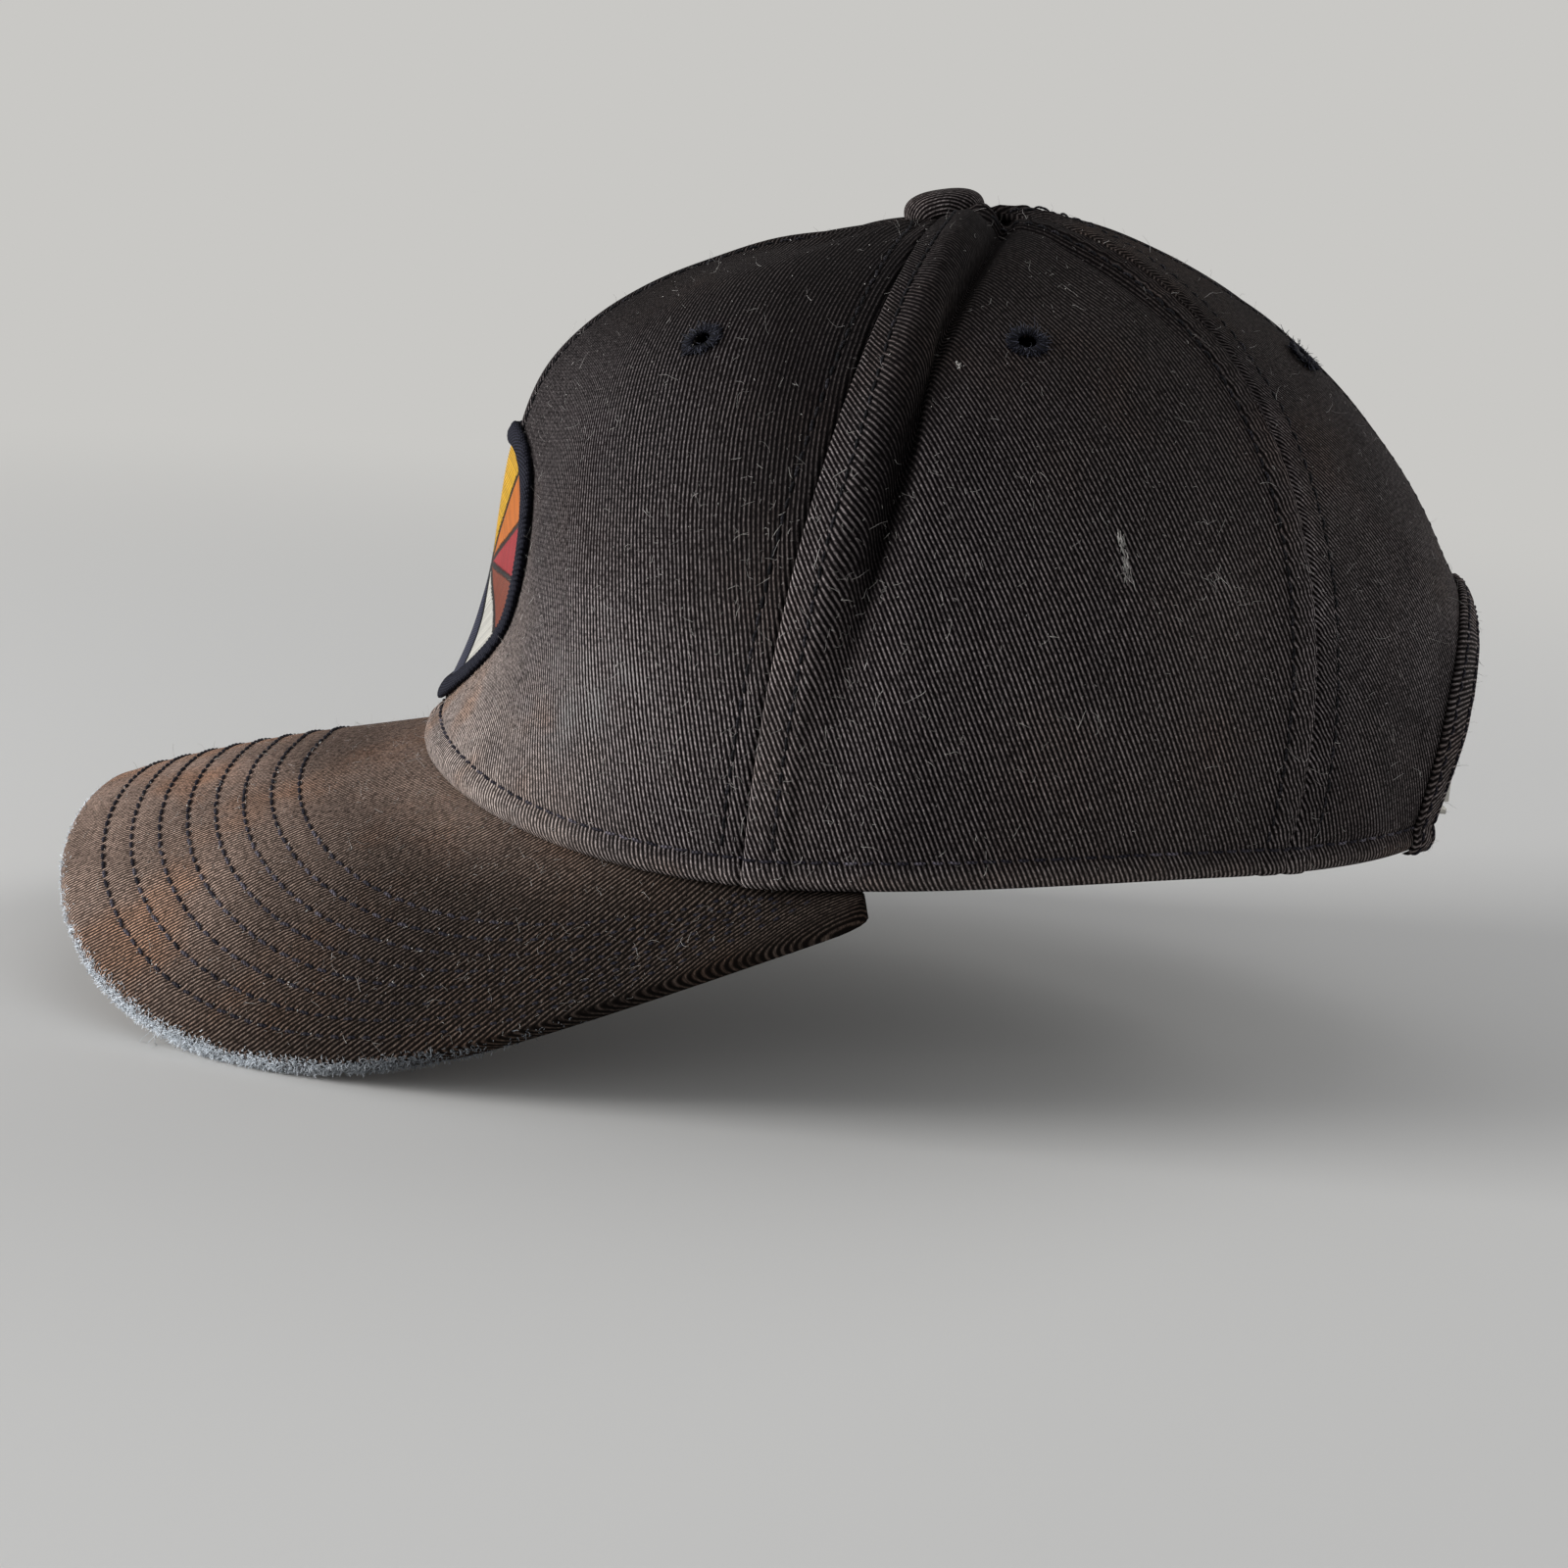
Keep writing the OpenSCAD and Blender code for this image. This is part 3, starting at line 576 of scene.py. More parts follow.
crown_twill = twill("crown twill", valley=paint("070506"), top=paint("a89e9e"),
                    faded=paint("ecd9cf"), pale=paint("b4b0ae"), pitch=CROWN_RIB)
visor_twill = twill("visor twill", valley=paint("080605"), top=paint("938379"),
                    faded=paint("f0cfbc"), pale=paint("b4bac0"), pitch=VISOR_RIB)
print("ribs", CROWN_RIB, "mm apart on the crown,", VISOR_RIB, "on the visor")


# %% Thread
def thread(name, colour, sheen):
    """Twisted thread: slanted strands along the stitch, with a painted sheen on their crests; a value
    on the mesh paints a pale lilac glint on some stitches.
    """
    s = Shader(name, Roughness=0.75, Specular_IOR_Level=0.12)
    u, v = s.uv()[1:]
    strand = (u * 9.0 + v * 5.0).call("SINE") * 0.5 + 0.5
    # Painted glint: the mesh's value turns the crests' sheen towards a lilac grey.
    bleach_and_glint = s.mix(s.value("fade"), sheen, paint("8f8894"))
    return s.finish(s.mix(strand, tinted(colour, 0.45), bleach_and_glint), strand, 0.00005)


seam_thread = thread("seam thread", paint("070709"), paint("19191d"))
navy_thread = thread("navy thread", paint("0d0c12"), paint("2a2831"))
eyelet_thread = thread("eyelet thread", paint("09090d"), paint("1d1e28"))
border_thread = thread("border thread", paint("101119"), paint("2b2c38"))
print("materials with the threads", len(bpy.data.materials))


# %% Badge embroidery
def embroidery(name, colours):
    """Sectors of satin stitch round the centre, one for each colour, with ragged gaps between."""
    s = Shader(name, Roughness=0.55, Specular_IOR_Level=0.4)
    x, y = s.uv()[1:]
    turn = x.call("ARCTAN2", y) / TURN + 0.5
    out = (x * x + y * y).call("SQRT")
    sector = (turn * len(colours)).call("FRACT")
    row = out / 0.55
    pick = s.node("TexWhiteNoise", dict(noise_dimensions="1D"), {"W": row.call("FLOOR")})
    stitch = Value(s, pick.outputs[0])
    gap = sector.call("MINIMUM", 1 - sector) * out * (TURN / len(colours))
    line = (gap - stitch * 0.35).smooth(0.2, 0.6)
    ramp = s.node("ValToRGB", None, {0: turn})
    ramp.color_ramp.interpolation = "CONSTANT"
    stops = ramp.color_ramp.elements
    for k, code in enumerate(colours):
        stop = stops[0] if k == 0 else stops.new(k / len(colours))
        stop.position, stop.color = k / len(colours), (*paint(code), 1)
    strand = 1 - (row.call("FRACT") * 2 - 1) ** 2
    # Painted shade in the grooves between rows of strands; near black in the gaps between sectors.
    shade = s.mix((strand * 0.5 + 0.3 + stitch * 0.3) * line, [0.03] * 3, [1] * 3)
    colour = s.node("Mix", dict(data_type="RGBA", blend_type="MULTIPLY"),
                    {0: 1.0, 6: ramp.outputs[0], 7: shade}).outputs[2]
    return s.finish(colour, strand * 0.7 + line * 0.8, 0.0005)


half_turn = ["1b2140", "e9e6dc", "8c3b1e", "b3202a", "e07a1c", "f0b81f"]
badge_cloth = embroidery("badge embroidery", half_turn + half_turn[::-1])
print("badge sectors", 2 * len(half_turn))


# %% Steel, plastics and fibres
def brushed(name, dark, light):
    """Sheet metal rubbed along the strap: fine level strokes, with a little tarnish."""
    s = Shader(name, Metallic=1.0)
    stroke = s.noise(s.scaled(s.place(), 90, 90, 4200), 1.0, 3, 0.6)
    tarnish = s.noise(s.place(), 240, 4, 0.65).smooth(0.42, 0.8)
    return s.finish(s.mix(tarnish * 0.55 + stroke * 0.35, light, dark), stroke, 0.000006,
                    0.2 + stroke * 0.16 + tarnish * 0.14)


def grained(name, dark, light, scale, depth, rough):
    """A mottled solid: noise of some scale per metre in its colour, bump and roughness."""
    s = Shader(name)
    grain = s.noise(s.place(), scale, 4, 0.6)
    return s.finish(s.mix(grain.smooth(0.3, 0.7), dark, light), grain, depth,
                    grain * (rough[1] - rough[0]) + rough[0])


def fibres(name, dark, light):
    """Loose fibres, each as pale as the mesh's fade value says."""
    s = Shader(name, Roughness=0.9, Specular_IOR_Level=0.1)
    return s.finish(s.mix(s.value("fade"), dark, light))


steel = brushed("steel", paint("7d7a74"), paint("c3c1bb"))
shell_plastic = grained("shell plastic", paint("1a1b1e"), paint("24262a"), 2600, 0.00002, (0.36, 0.5))
trim_rubber = grained("edge trim", paint("292a2d"), paint("3b3c40"), 1800, 0.00006, (0.7, 0.85))
board_plastic = grained("visor board", paint("2b2c2e"), paint("393a3c"), 900, 0.00003, (0.5, 0.6))
loop_pile = grained("loop pile", paint("17171a"), paint("4a4a50"), 2400, 0.0004, (0.9, 0.95))
lint_and_glint_hair = grained("lint", paint("7b7875"), paint("d8d4cf"), 300, 0.00001, (0.8, 0.9))
eyelet_fibre = grained("eyelet fibre", paint("0a0a0e"), paint("444656"), 1500, 0.00001, (0.8, 0.9))
fray_hair = fibres("frayed fibre", paint("1d232b"), paint("f3f9ff"))
print("materials with the plastics", len(bpy.data.materials))


# %% Woven linings
def weave(name, dark, light, pitch, depth=0.0001):
    """Plain weave: threads over and under, sin u sin v, with uneven yarn."""
    s = Shader(name, Roughness=0.9, Specular_IOR_Level=0.2, Sheen_Weight=0.06)
    vector, u, v = s.uv()
    turn = TURN / pitch
    over = (u * turn).call("SINE") * (v * turn).call("SINE") * 0.5 + 0.5
    lit = (over * 0.75 + s.noise(vector, 1.4, 3, 0.6) * 0.6 - 0.2).smooth(0.1, 0.9)
    return s.finish(s.mix(lit, dark, light), over, depth)


lining_cloth = weave("lining", paint("121215"), paint("3b3b41"), 0.9)
buckram = weave("buckram", paint("1b1b1c"), paint("58564f"), 1.5, 0.0002)
pad_cloth = weave("pad cover", paint("1f2125"), paint("4b4f57"), 1.2, 0.00015)
hooks = weave("hooks", paint("0e0e10"), paint("4e4e54"), 1.3, 0.0005)
print("materials", len(bpy.data.materials))


# %% [markdown]
# ## Relief of the cloth
# Worn cloth is never a smooth shell. Seams are lapped and felled, so bands stand proud beside
# them; each row of stitches pulls a groove; the rim is rolled; and a deep pleat has set behind the
# front seam. A simulation would make folds of its own, not these, so each is a short
# formula in the distance s from its seam line, in millimetres, added along the normal.

# %% Relief formulas
FRONT_STITCH, BACK_STITCH, RIM_STITCH = 4.1, 5.4, 5.0
ARCH_R, ARCH_Z = 32, 13


def seam_stitch(t):
    """Distance of the lapped seam's topstitch from the fold."""
    return 5.2 - 1.8 * smooth(0.45, 0.7, t)


def pleat_depth(t):
    """Share of the pleat behind the front seam: none at the rim, full from half way up."""
    return smooth(0.12, 0.42, t) * (1 - 0.45 * smooth(0.78, 0.94, t))


def relief(kind, a, t, seed=0):
    """Height in mm of a panel's outer face over the plain crown."""
    p = crown(a, t)
    up, wide = p[..., 2] - rim_z(a), stretch(a, t)
    wave = 1.0 if kind == "back" else 0.55
    d = (wave * noise(p, 36, seed) + 0.25 * noise(p, 14, seed + 1)) * smooth(0, 9, up)
    d += 0.75 * hill(up, 2.3, 1.7) - 0.4 * hill(up, RIM_STITCH, 0.6) - 0.7 * hill(up, 0, 0.45)
    s1, s2 = (a - front_seam(t)) * wide, (a - back_seam(t)) * wide
    if kind == "front":
        d += (-0.8 * smooth(-0.9, 0.3, s1) + 0.12 * hill(s1, -2.3, 1.2)
              - 0.3 * hill(s1, -FRONT_STITCH, 0.6))
    if kind == "side":
        pleat = pleat_depth(t)
        d += 0.85 * smooth(-0.3, 0.8, s1) * (1 - smooth(6.5, 9, s1))
        d += pleat * (2.6 * hill(s1, 7.4, 3.4) - 3.6 * hill(s1, 12.6, 2.3) + 0.9 * hill(s1, 21, 6))
        d += -0.3 * hill(s1, seam_stitch(t), 0.6) - 0.4 * hill(s1, 0, 0.3)
        slack = np.stack([0.87 * up - 0.5 * s1, 0.3 * (0.87 * s1 + 0.5 * up), 0 * up], -1)
        d += (noise(slack, 17, seed + 2) * smooth(8, 22, up) * smooth(12, 26, s1)
              * (1 - smooth(-22, -10, s2)))
        d += (0.9 * hill(s1, 31, 11) - 1.2 * hill(s1, 15, 5.5)) * hill(up, 34, 20) * (1 - pleat)
        d -= 1.3 * smooth(0.55, 0.75, t) * hill(s2, -8.6, 2.2)
    else:
        middle = (a if kind == "front" else 180 - a) * wide
    if kind != "front":
        band = 1 - smooth(4.6, 6.6, np.abs(s2))
        d += 0.45 * band - 0.55 * hill(s2, 0, 0.8) - 0.4 * hill(np.abs(s2), BACK_STITCH, 0.6)
        d += 0.16 * band * np.sin(t * 270 + 3 * noise(p, 9, 5))
    if kind != "side":
        sewn = 0.25 * hill(middle, 2.2, 1.2) - 0.35 * hill(middle, FRONT_STITCH, 0.6)
        d += sewn - 0.6 * hill(middle, 0, 0.8)
    if kind == "back":
        gap = arch_gap(p[..., 0], p[..., 2])
        d += 1.9 * (1 - smooth(-1, 14, gap)) * smooth(8, 30, p[..., 2])
    d += 0.6 * hill(t, 0.9, 0.06) * np.sin(np.radians(a) * 13 + seed)
    return d * (1 - smooth(0.94, 0.98, t))


def arch_gap(x, z):
    """Distance outside the opening at the back: straight sides to 13 mm, then a half circle."""
    return np.where(z > ARCH_Z, np.hypot(x, z - ARCH_Z), np.abs(x)) - ARCH_R


def panel_face(kind, a, t, seed):
    """Outer face of a panel and its normals: relief along the normal, and the pleat leaning back."""
    n = crown_normal(a, t)
    back = unit(crown(a + 0.4, t) - crown(a - 0.4, t))
    s1 = (a - front_seam(t)) * stretch(a, t)
    lean = 1.9 * pleat_depth(t) * hill(s1, 9.4, 2.6) * (kind == "side")
    return crown(a, t) + n * relief(kind, a, t, seed)[..., None] + back * lean[..., None], n


probe = relief("side", np.linspace(78, 100, 200), np.full(200, 0.5))
print("pleat half way up, mm:", round(probe.min(), 1), "to", round(probe.max(), 1))


# %% Wear, fading and painted shade
def worn_and_shaded(kind, a, t, seed=0):
    """Fading, rubbing and painted shade of a panel: brown near the visor, pale where rubbed, painted
    dark towards the top and back and in the pleat.
    """
    p = crown(a, t)
    up, wide = p[..., 2] - rim_z(a), stretch(a, t)
    s1, s2 = (a - front_seam(t)) * wide, (a - back_seam(t)) * wide
    cloud = 0.5 + 0.5 * noise(p, 26, seed + 3)
    fine = 0.5 + 0.5 * noise(p, 5, seed + 4)
    fade = 0.95 * (1 - smooth(22, 66, up + 30 * cloud + 9 * fine))
    fade *= 1 - smooth(20, 76, a + 10 * fine)
    fade *= 1 - 0.35 * hill(a, 0, 22)
    fade += (0.05 if kind == "front" else 0.13) * cloud ** 2 + 0.15 * hill(up, 1.6, 1.6)
    wear = 0.12 * fine + 0.16 * hill(up, 1.2, 1.3) * cloud
    # Painted shade: dark is raised at the back, low on the side, towards the top, beside the front
    # seam and in the pleat's valley.
    dark = 0.08 + 0.35 * smooth(125, 150, a) * (1 - fine)
    dark += 0.3 * smooth(80, 95, a) * (1 - smooth(0, 30, up))
    dark += 0.85 * smooth(0.18, 0.8, t + 0.3 * (cloud - 0.5) + 0.1 * (fine - 0.5))
    if kind == "front":
        dark += 0.5 * smooth(-26, -5, s1) * smooth(0.12, 0.4, t)
    if kind != "back":
        wear += 0.42 * hill(s1, 0.9, 0.9) * fine
    if kind == "side":
        dark += 1.3 * pleat_depth(t) * hill(s1, 12.8, 4.4)
    if kind != "front":
        rubbed = 0.3 * hill(s2, 1.0, 1.3) * smooth(0.45, 0.7, cloud + 0.35 * fine)
        wear += (rubbed + 0.12 * hill(s2, 0, 5) * fine) * (1 - smooth(0.5, 0.75, t))
    wear += 0.75 * hill(a, 50, 18) * hill(up, 27, 20) * (0.4 + 0.6 * fine)
    wear += 0.4 * hill(a, 123.2, 2.4) * hill(t, 0.3, 0.03) * fine
    return marks(fade=fade, wear=wear, dark=dark)


probe = worn_and_shaded("front", np.full(2, 10.0), np.array([0.05, 0.8]))["fade"]
print("fade of the front, low and high:", probe[:2].round(2))


# %% [markdown]
# ## Six panels
# A panel runs from seam to seam, and reaches a little under its neighbour as a lapped seam does.
# It could be cut flat and draped by a simulation; following the crown's formula instead keeps it on
# the CAD faces. Its UV map is the flat cut: lengths along the rows from the panel's middle line and
# along that line, turned to the slant of the ribs, which differs from panel to panel.

# %% Build the panels
EYELETS = {"front": (50.7, 0.62), "side": (104.5, 0.61), "back": (167.0, 0.565)}
EYELET_HOLE_R = 2.5
PANELS = {"front": (centre_front, front_seam, 26), "side": (front_seam, back_seam, 28),
          "back": (back_seam, centre_back, 30)}


def panel_seed(kind, side):
    """Seed of a panel's folds and wear, so that left and right differ."""
    return {"front": 1, "side": 4, "back": 8}[kind] + (0 if side > 0 else 20)


def panel(kind, side, rows=140, cols=124):
    """A left (1) or right (-1) panel, less its eyelet's hole and its share of the opening."""
    start, end, slant = PANELS[kind]
    t = (np.linspace(0, 1, rows) ** 1.25 * 0.98)[:, None]
    u = gathered(cols, 0.62)[None, :]
    first = start(t) - (1.0 / stretch(start(t), t) if kind == "back" else 0)
    last = end(t) + (1.4 / stretch(end(t), t) if kind == "front" else 0)
    a, t = first + (last - first) * u, t + 0 * u
    seed = panel_seed(kind, side)
    outer, n = panel_face(kind, a, t, seed)
    base, d = crown(a, t), relief(kind, a, t, seed)
    inner = base + n * (np.minimum(d, 0.5 * d) - CLOTH)[..., None]
    flat_x = run(base, 1) - run(base, 1)[:, cols // 2, None]
    flat_y = run(base, 0)[:, cols // 2, None] + 0 * u
    uv = turned(flat_x, flat_y, np.cos(np.radians(slant)), np.sin(np.radians(slant)))
    quads = grid(rows, cols)
    centres = base.reshape(-1, 3)[quads].mean(1)
    keep = np.linalg.norm(centres - crown(*np.array(EYELETS[kind])), axis=-1) > EYELET_HOLE_R
    if kind == "back":
        keep &= arch_gap(centres[:, 0], centres[:, 2]) > 0.4
    points, faces = solid(outer, inner, quads[keep])
    points, faces = mirrored(points, side), faces[:, ::side]
    name = f"{kind}_panel_{'left' if side > 0 else 'right'}"
    made = piece(name + "_cloth", (points, faces, both(uv)), crown_twill, "twill", nodes=[name],
                 **worn_and_shaded(kind, a, t, seed))
    width, length = np.ptp(flat_x) * MM, np.ptp(flat_y) * MM
    cut = area(points, faces)
    return f"{name}: cut {width / MM:.0f} x {length / MM:.0f} mm, {cut * 1e4:.0f} cm2"


for kind in PANELS:
    for side in (1, -1):
        print(panel(kind, side))


# %% [markdown]
# ## Stitches
# Each stitch is one short bowed tube of thread that dives into the cloth at both ends. A dashed
# texture would be quicker, but it can't cast a shadow or stand out in the outline. All stitches of
# a row are worked out together from a line of points and its normals.

# %% Stitches from a line
RINGS, SIDES = 6, 7


def along(points, normals, pitch):
    """Evenly spaced places on a line, with tangents and normals there."""
    s = run(points, 0)
    at = np.arange(pitch / 2, s[-1], pitch)
    pick = lambda v: np.stack([np.interp(at, s, v[:, k]) for k in range(3)], -1)
    return pick(points), unit(pick(np.gradient(points, axis=0))), unit(pick(normals))


def stitches(lines, pitch=2.9, length=2.35, thick=0.27, bow=0.34):
    """Tubes c + T l s + N bow (1 - 4.6 s^2) + r (0.8 N cos f + B sin f), all lines at once."""
    c, t, n = (np.concatenate(v) for v in zip(*[along(p, m, pitch) for p, m in lines]))
    count = len(c)
    t = unit(t + rng.normal(0, 0.09, t.shape))
    size = length * rng.uniform(0.86, 1.1, count)
    b = np.cross(n, t)
    s = np.linspace(-0.5, 0.5, RINGS)[None, :, None, None]
    f = (np.arange(SIDES) * 2 * np.pi / SIDES)[None, None, :, None]
    grow = lambda v: v[:, None, None, :]
    r = thick * (1 - 0.55 * (2 * s) ** 6)
    points = grow(c) + grow(t) * s * size[:, None, None, None] + grow(n) * (
        bow * (1 - 4.6 * s * s) + r * 0.8 * np.cos(f)) + grow(b) * r * np.sin(f)
    quads = grid(RINGS, SIDES, True)[None] + np.arange(count)[:, None, None] * RINGS * SIDES
    uv = np.broadcast_to(np.concatenate([s * length + 0 * f, 0 * s + f * thick], -1),
                         (count, RINGS, SIDES, 2))
    return points.reshape(-1, 3), quads.reshape(-1, 4), uv.reshape(-1, 2)


def per_stitch(points):
    """One random number from 0 to 1 for each stitch, on all its points."""
    return np.repeat(rng.random(len(points) // (RINGS * SIDES)), RINGS * SIDES)


print("faces of one stitch", (RINGS - 1) * SIDES)


# %% Rows on the crown
def cloth_line(kind, a, t, side, lift=0.05):
    """A line on a panel's outer face, with normals."""
    p, n = panel_face(kind, a, t, panel_seed(kind, side))
    return mirrored(p + n * lift, side), mirrored(n, side)


t = np.linspace(0.035, 0.93, 400)
over_hem = np.interp(ARCH_Z + ARCH_R + 3, crown(np.full(400, 180.0), t)[:, 2], t)
top = np.linspace(over_hem, 0.93, 300)
SEWN = [("front", front_seam, -FRONT_STITCH, t), ("side", front_seam, seam_stitch(t), t),
        ("side", back_seam, -BACK_STITCH, t), ("back", back_seam, BACK_STITCH, t),
        ("front", centre_front, FRONT_STITCH, t), ("back", centre_back, -FRONT_STITCH, top)]
seam_rows, rim_rows = [], []
for side in (1, -1):
    for kind, seam, shift, share in SEWN:
        a = seam(share) + shift / stretch(seam(share), share)
        seam_rows.append(cloth_line(kind, a, share, side))
    for kind, first, last in (("front", 0, 75.2), ("side", 75.4, 131.2), ("back", 131.4, 156.5)):
        a = np.linspace(first, last, 500)
        rim_rows.append(cloth_line(kind, a, t_at(a, rim_z(a) + RIM_STITCH), side))
# Painted glints: a random share of the stitches is paled towards lilac grey, a little on the seams and
# more on the rim.
for name, rows, material, most in (("seam_stitching", seam_rows, seam_thread, 0.15),
                                   ("rim_stitching", rim_rows, navy_thread, 0.7)):
    sewn = stitches(rows)
    piece(name, sewn, material, "thread", fade=per_stitch(sewn[0]) ** 3 * most)
    print(name, len(sewn[0]) // (RINGS * SIDES))


# %% [markdown]
# ## The visor
# Two covers of the same twill are sewn round a board in eight rows of stitches that follow the
# outer edge. Each could be a flat cut bent by a modifier; here a face is a formula of the angle and
# of the distance from the edge, so that the rows, the quilting and the fraying share one measure.
# The edge is a half ellipse between the two faces; the top cover takes its upper quarter and the
# lower cover the rest.

# %% Visor faces, wear and painted shade
ROWS = 9 + 5.4 * np.arange(8)
TOP_PART = 0.8
print("rows of stitches, mm from the visor's edge:", ROWS.round(1))


def corner(a):
    """Share of the reach left by the rear corners: sqrt(1 - ((|a| - 84.6) / 3.6)^2)."""
    return np.sqrt(1 - np.clip((np.abs(a) - 84.6) / 3.6, 0, 1) ** 2)


def visor_face(a, d, side):
    """A cover's outer face at a distance d from the edge: middle plane + rounding + quilting."""
    u = corner(a) * (1 - np.minimum(d / visor_reach(a), 1))
    n = visor_normal(a, np.clip(u, 0.03, 0.97))
    p = visor(a, u)
    pull = 0.22 - 0.14 * smooth(38, 70, np.abs(a))
    sewn_down = sum(hill(d, k, 0.75) for k in ROWS)
    quilt = 0.12 * noise(p, 22, 3) - pull * sewn_down + 0.16 * smooth(3, 9, d)
    round_off = np.sqrt(1 - (1 - np.clip(d / 2.4, 0, 1)) ** 2)
    thick = TOP_PART * VISOR_T + quilt if side > 0 else 0.2 * VISOR_T + 0.6 * quilt
    return p - n * TOP_PART * VISOR_T + side * n * (round_off * thick)[..., None], n


def frayed(a):
    """Share of fraying along the visor's edge: strongest beside the tip, most on the left."""
    along_edge = (0.3 + 0.7 * smooth(22, 46, np.abs(a))) * (1 - smooth(68, 79, np.abs(a)))
    return along_edge * np.where(a > -15, 1, 0.5)


def visor_marks(a, d, outer):
    """Fading, rubbing and painted shade of a cover: brown at the tip, pale along the edge, painted
    dark at the sides and by the seam.
    """
    cloud = 0.5 + 0.5 * noise(outer, 30, 9)
    fine = 0.5 + 0.5 * noise(outer, 4, 12)
    near = smooth(42, 84, np.abs(outer[..., 0]))
    from_seam = visor_reach(a) - d
    fade = (0.08 + 0.3 * cloud) * (1 - 0.85 * near)
    fade += 0.68 * (1 - smooth(-154, -88, outer[..., 1])) * (1 - 0.55 * near)
    fade += 0.4 * (1 - smooth(3, 22, from_seam)) * (1 - near)
    rubbed = 0.2 * cloud + 0.4 * (1 - smooth(25, 60, np.abs(a)))
    wear = 0.12 * fine + rubbed * (1 - smooth(0.4, 2.4, d))
    wear += 0.8 * frayed(a) * (1 - smooth(0.6, 3.6, d + 2.4 * fine))
    # Painted shade: darker at the sides, by the seam and along the rear part of the edge.
    dark = 0.1 + 0.5 * near + 0.25 * (1 - smooth(0, 7, from_seam))
    dark += 0.5 * smooth(60, 78, np.abs(a)) * (1 - smooth(1, 6, d))
    return marks(fade=fade, wear=wear, dark=dark)


# %% Visor covers and board
RIB_SLANT, BOARD_GRID = np.radians(21), (40, 200)
visor_a = np.linspace(88, -88, 290)[None, :]
depths = np.concatenate([np.linspace(0, 1, 11) ** 2 * 0.035, np.linspace(0.035, 1, 96)[1:]])[:, None]
visor_d = depths * visor_reach(visor_a)
visor_a = visor_a + 0 * visor_d


def visor_cover(name, side, slot, node):
    """The top (1) or under (-1) cover; its flat cut unrolls the arch and the rounded edge."""
    a, d = visor_a, visor_d
    outer, n = visor_face(a, d, side)
    inner = outer - side * n * (0.7 * smooth(0, 2.5, d) + 0.02)[..., None]
    x, y = outer[..., 0], outer[..., 1]
    arched = np.clip(arch_share(visor_back(y)), 0, 1) ** 2
    flat = np.stack([x + arched * (VISOR_ROUND * np.arcsin(x / VISOR_ROUND) - x), y], -1)
    roll = (run(outer[::-1], 0) - run(flat[::-1], 0))[::-1]
    flat += unit((visor_edge(a) - visor(a, 0 * a))[..., :2]) * roll[..., None]
    uv = turned(flat[..., 0], flat[..., 1], np.cos(RIB_SLANT), np.sin(RIB_SLANT))
    points, faces = solid(outer, inner, grid(*d.shape)[:, ::side])
    made = piece(name, (points, faces, both(uv)), visor_twill, slot, nodes=[node],
                 **visor_marks(a, d, outer))
    return (made, area(points, faces))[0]


def board_face(depth):
    """A face of the board: under the top cover, short of the edge and of the rear corners."""
    rows, cols = BOARD_GRID
    b, v = np.meshgrid(np.linspace(86, -86, cols), np.linspace(1, 0, rows))
    u = v * corner(np.abs(b) + 1) * (1 - 1.9 / visor_reach(b))
    return visor(b, u) - visor_normal(b, np.clip(u, 0.03, 0.97)) * depth


piece("visor_board_moulding", solid(board_face(0.95), board_face(2.65), grid(*BOARD_GRID)),
      board_plastic, "board", nodes=["visor_board"])
visor_cover("visor_top_cloth", 1, "visor_twill", "visor_top_cover")
visor_cover("visor_under_cloth", -1, "lining", "visor_under_cover")
LOW = min(visor_face(visor_a, visor_d, k)[0][..., 2].min() for k in (1, -1)) - 0.1
print("lowest point of the visor", round(LOW, 1), "mm")


# %% Rows on the visor
rows = []
for k in ROWS:
    line = np.linspace(86, -86, 900)
    line = line[visor_reach(line) > k + 2]
    p, n = visor_face(line, np.full_like(line, k), 1)
    rows.append((p + n * (0.03 - 0.42 * smooth(40, 70, np.abs(line)))[:, None], n))
sewn = stitches(rows, pitch=2.9, length=2.25, thick=0.34, bow=0.3)
# Painted glints: stitches on the visor's sides, around 54 mm out, are paled at random towards lilac
# grey.
bleach_and_glint = 0.8 * hill(np.abs(sewn[0][:, 0]), 54, 17) * per_stitch(sewn[0]) ** 1.5
piece("visor_stitching", sewn, navy_thread, "thread", fade=bleach_and_glint)
print("visor stitches", len(sewn[0]) // (RINGS * SIDES))


# %% [markdown]
# ## Sewn details
# The eyelets are rings wrapped in thread, the badge's border is wrapped slantwise, and the button
# is a cloth-covered dome. Each is a surface of revolution whose radius also swings with the
# angle, once per turn of thread; a plain ring with a bump would lose the notched outline.

# %% Eyelets
def frame_on(n):
    """Two directions along a surface with normal n: level, and up it."""
    side = unit(np.cross([0, 0, 1], n))
    return side, np.cross(n, side)


def crown_frame(a, t):
    """A point of the crown, its normal, and the two directions along the face there."""
    a, t = np.array([a]), np.array([t])
    n = crown_normal(a, t)[0]
    return crown(a, t)[0], n, *frame_on(n)


def wrapped_ring(turns, per_turn, sides, radius, half_w, half_h, slant, ripple, ragged):
    """(angle, radial, height, section angle) of a ring of thread: an oval, notched every turn."""
    th = np.linspace(0, 2 * np.pi, turns * per_turn, endpoint=False)[None, :]
    f = np.linspace(0, 2 * np.pi, sides, endpoint=False)[:, None]
    turn = np.arange(turns * per_turn) // per_turn
    lump, reach = rng.uniform(0.55, 1.25, turns)[turn], ragged * rng.uniform(-1, 1, turns)[turn]
    notch = np.abs(np.cos(turns * (th + slant * np.cos(f)) / 2)) ** 0.7
    swell = 1 - ripple * (1 - notch) * lump
    radial = radius + half_w * np.cos(f) * swell + reach * np.maximum(np.cos(f), 0)
    return th + 0 * f, radial, half_h * np.sin(f) * swell, f + 0 * th


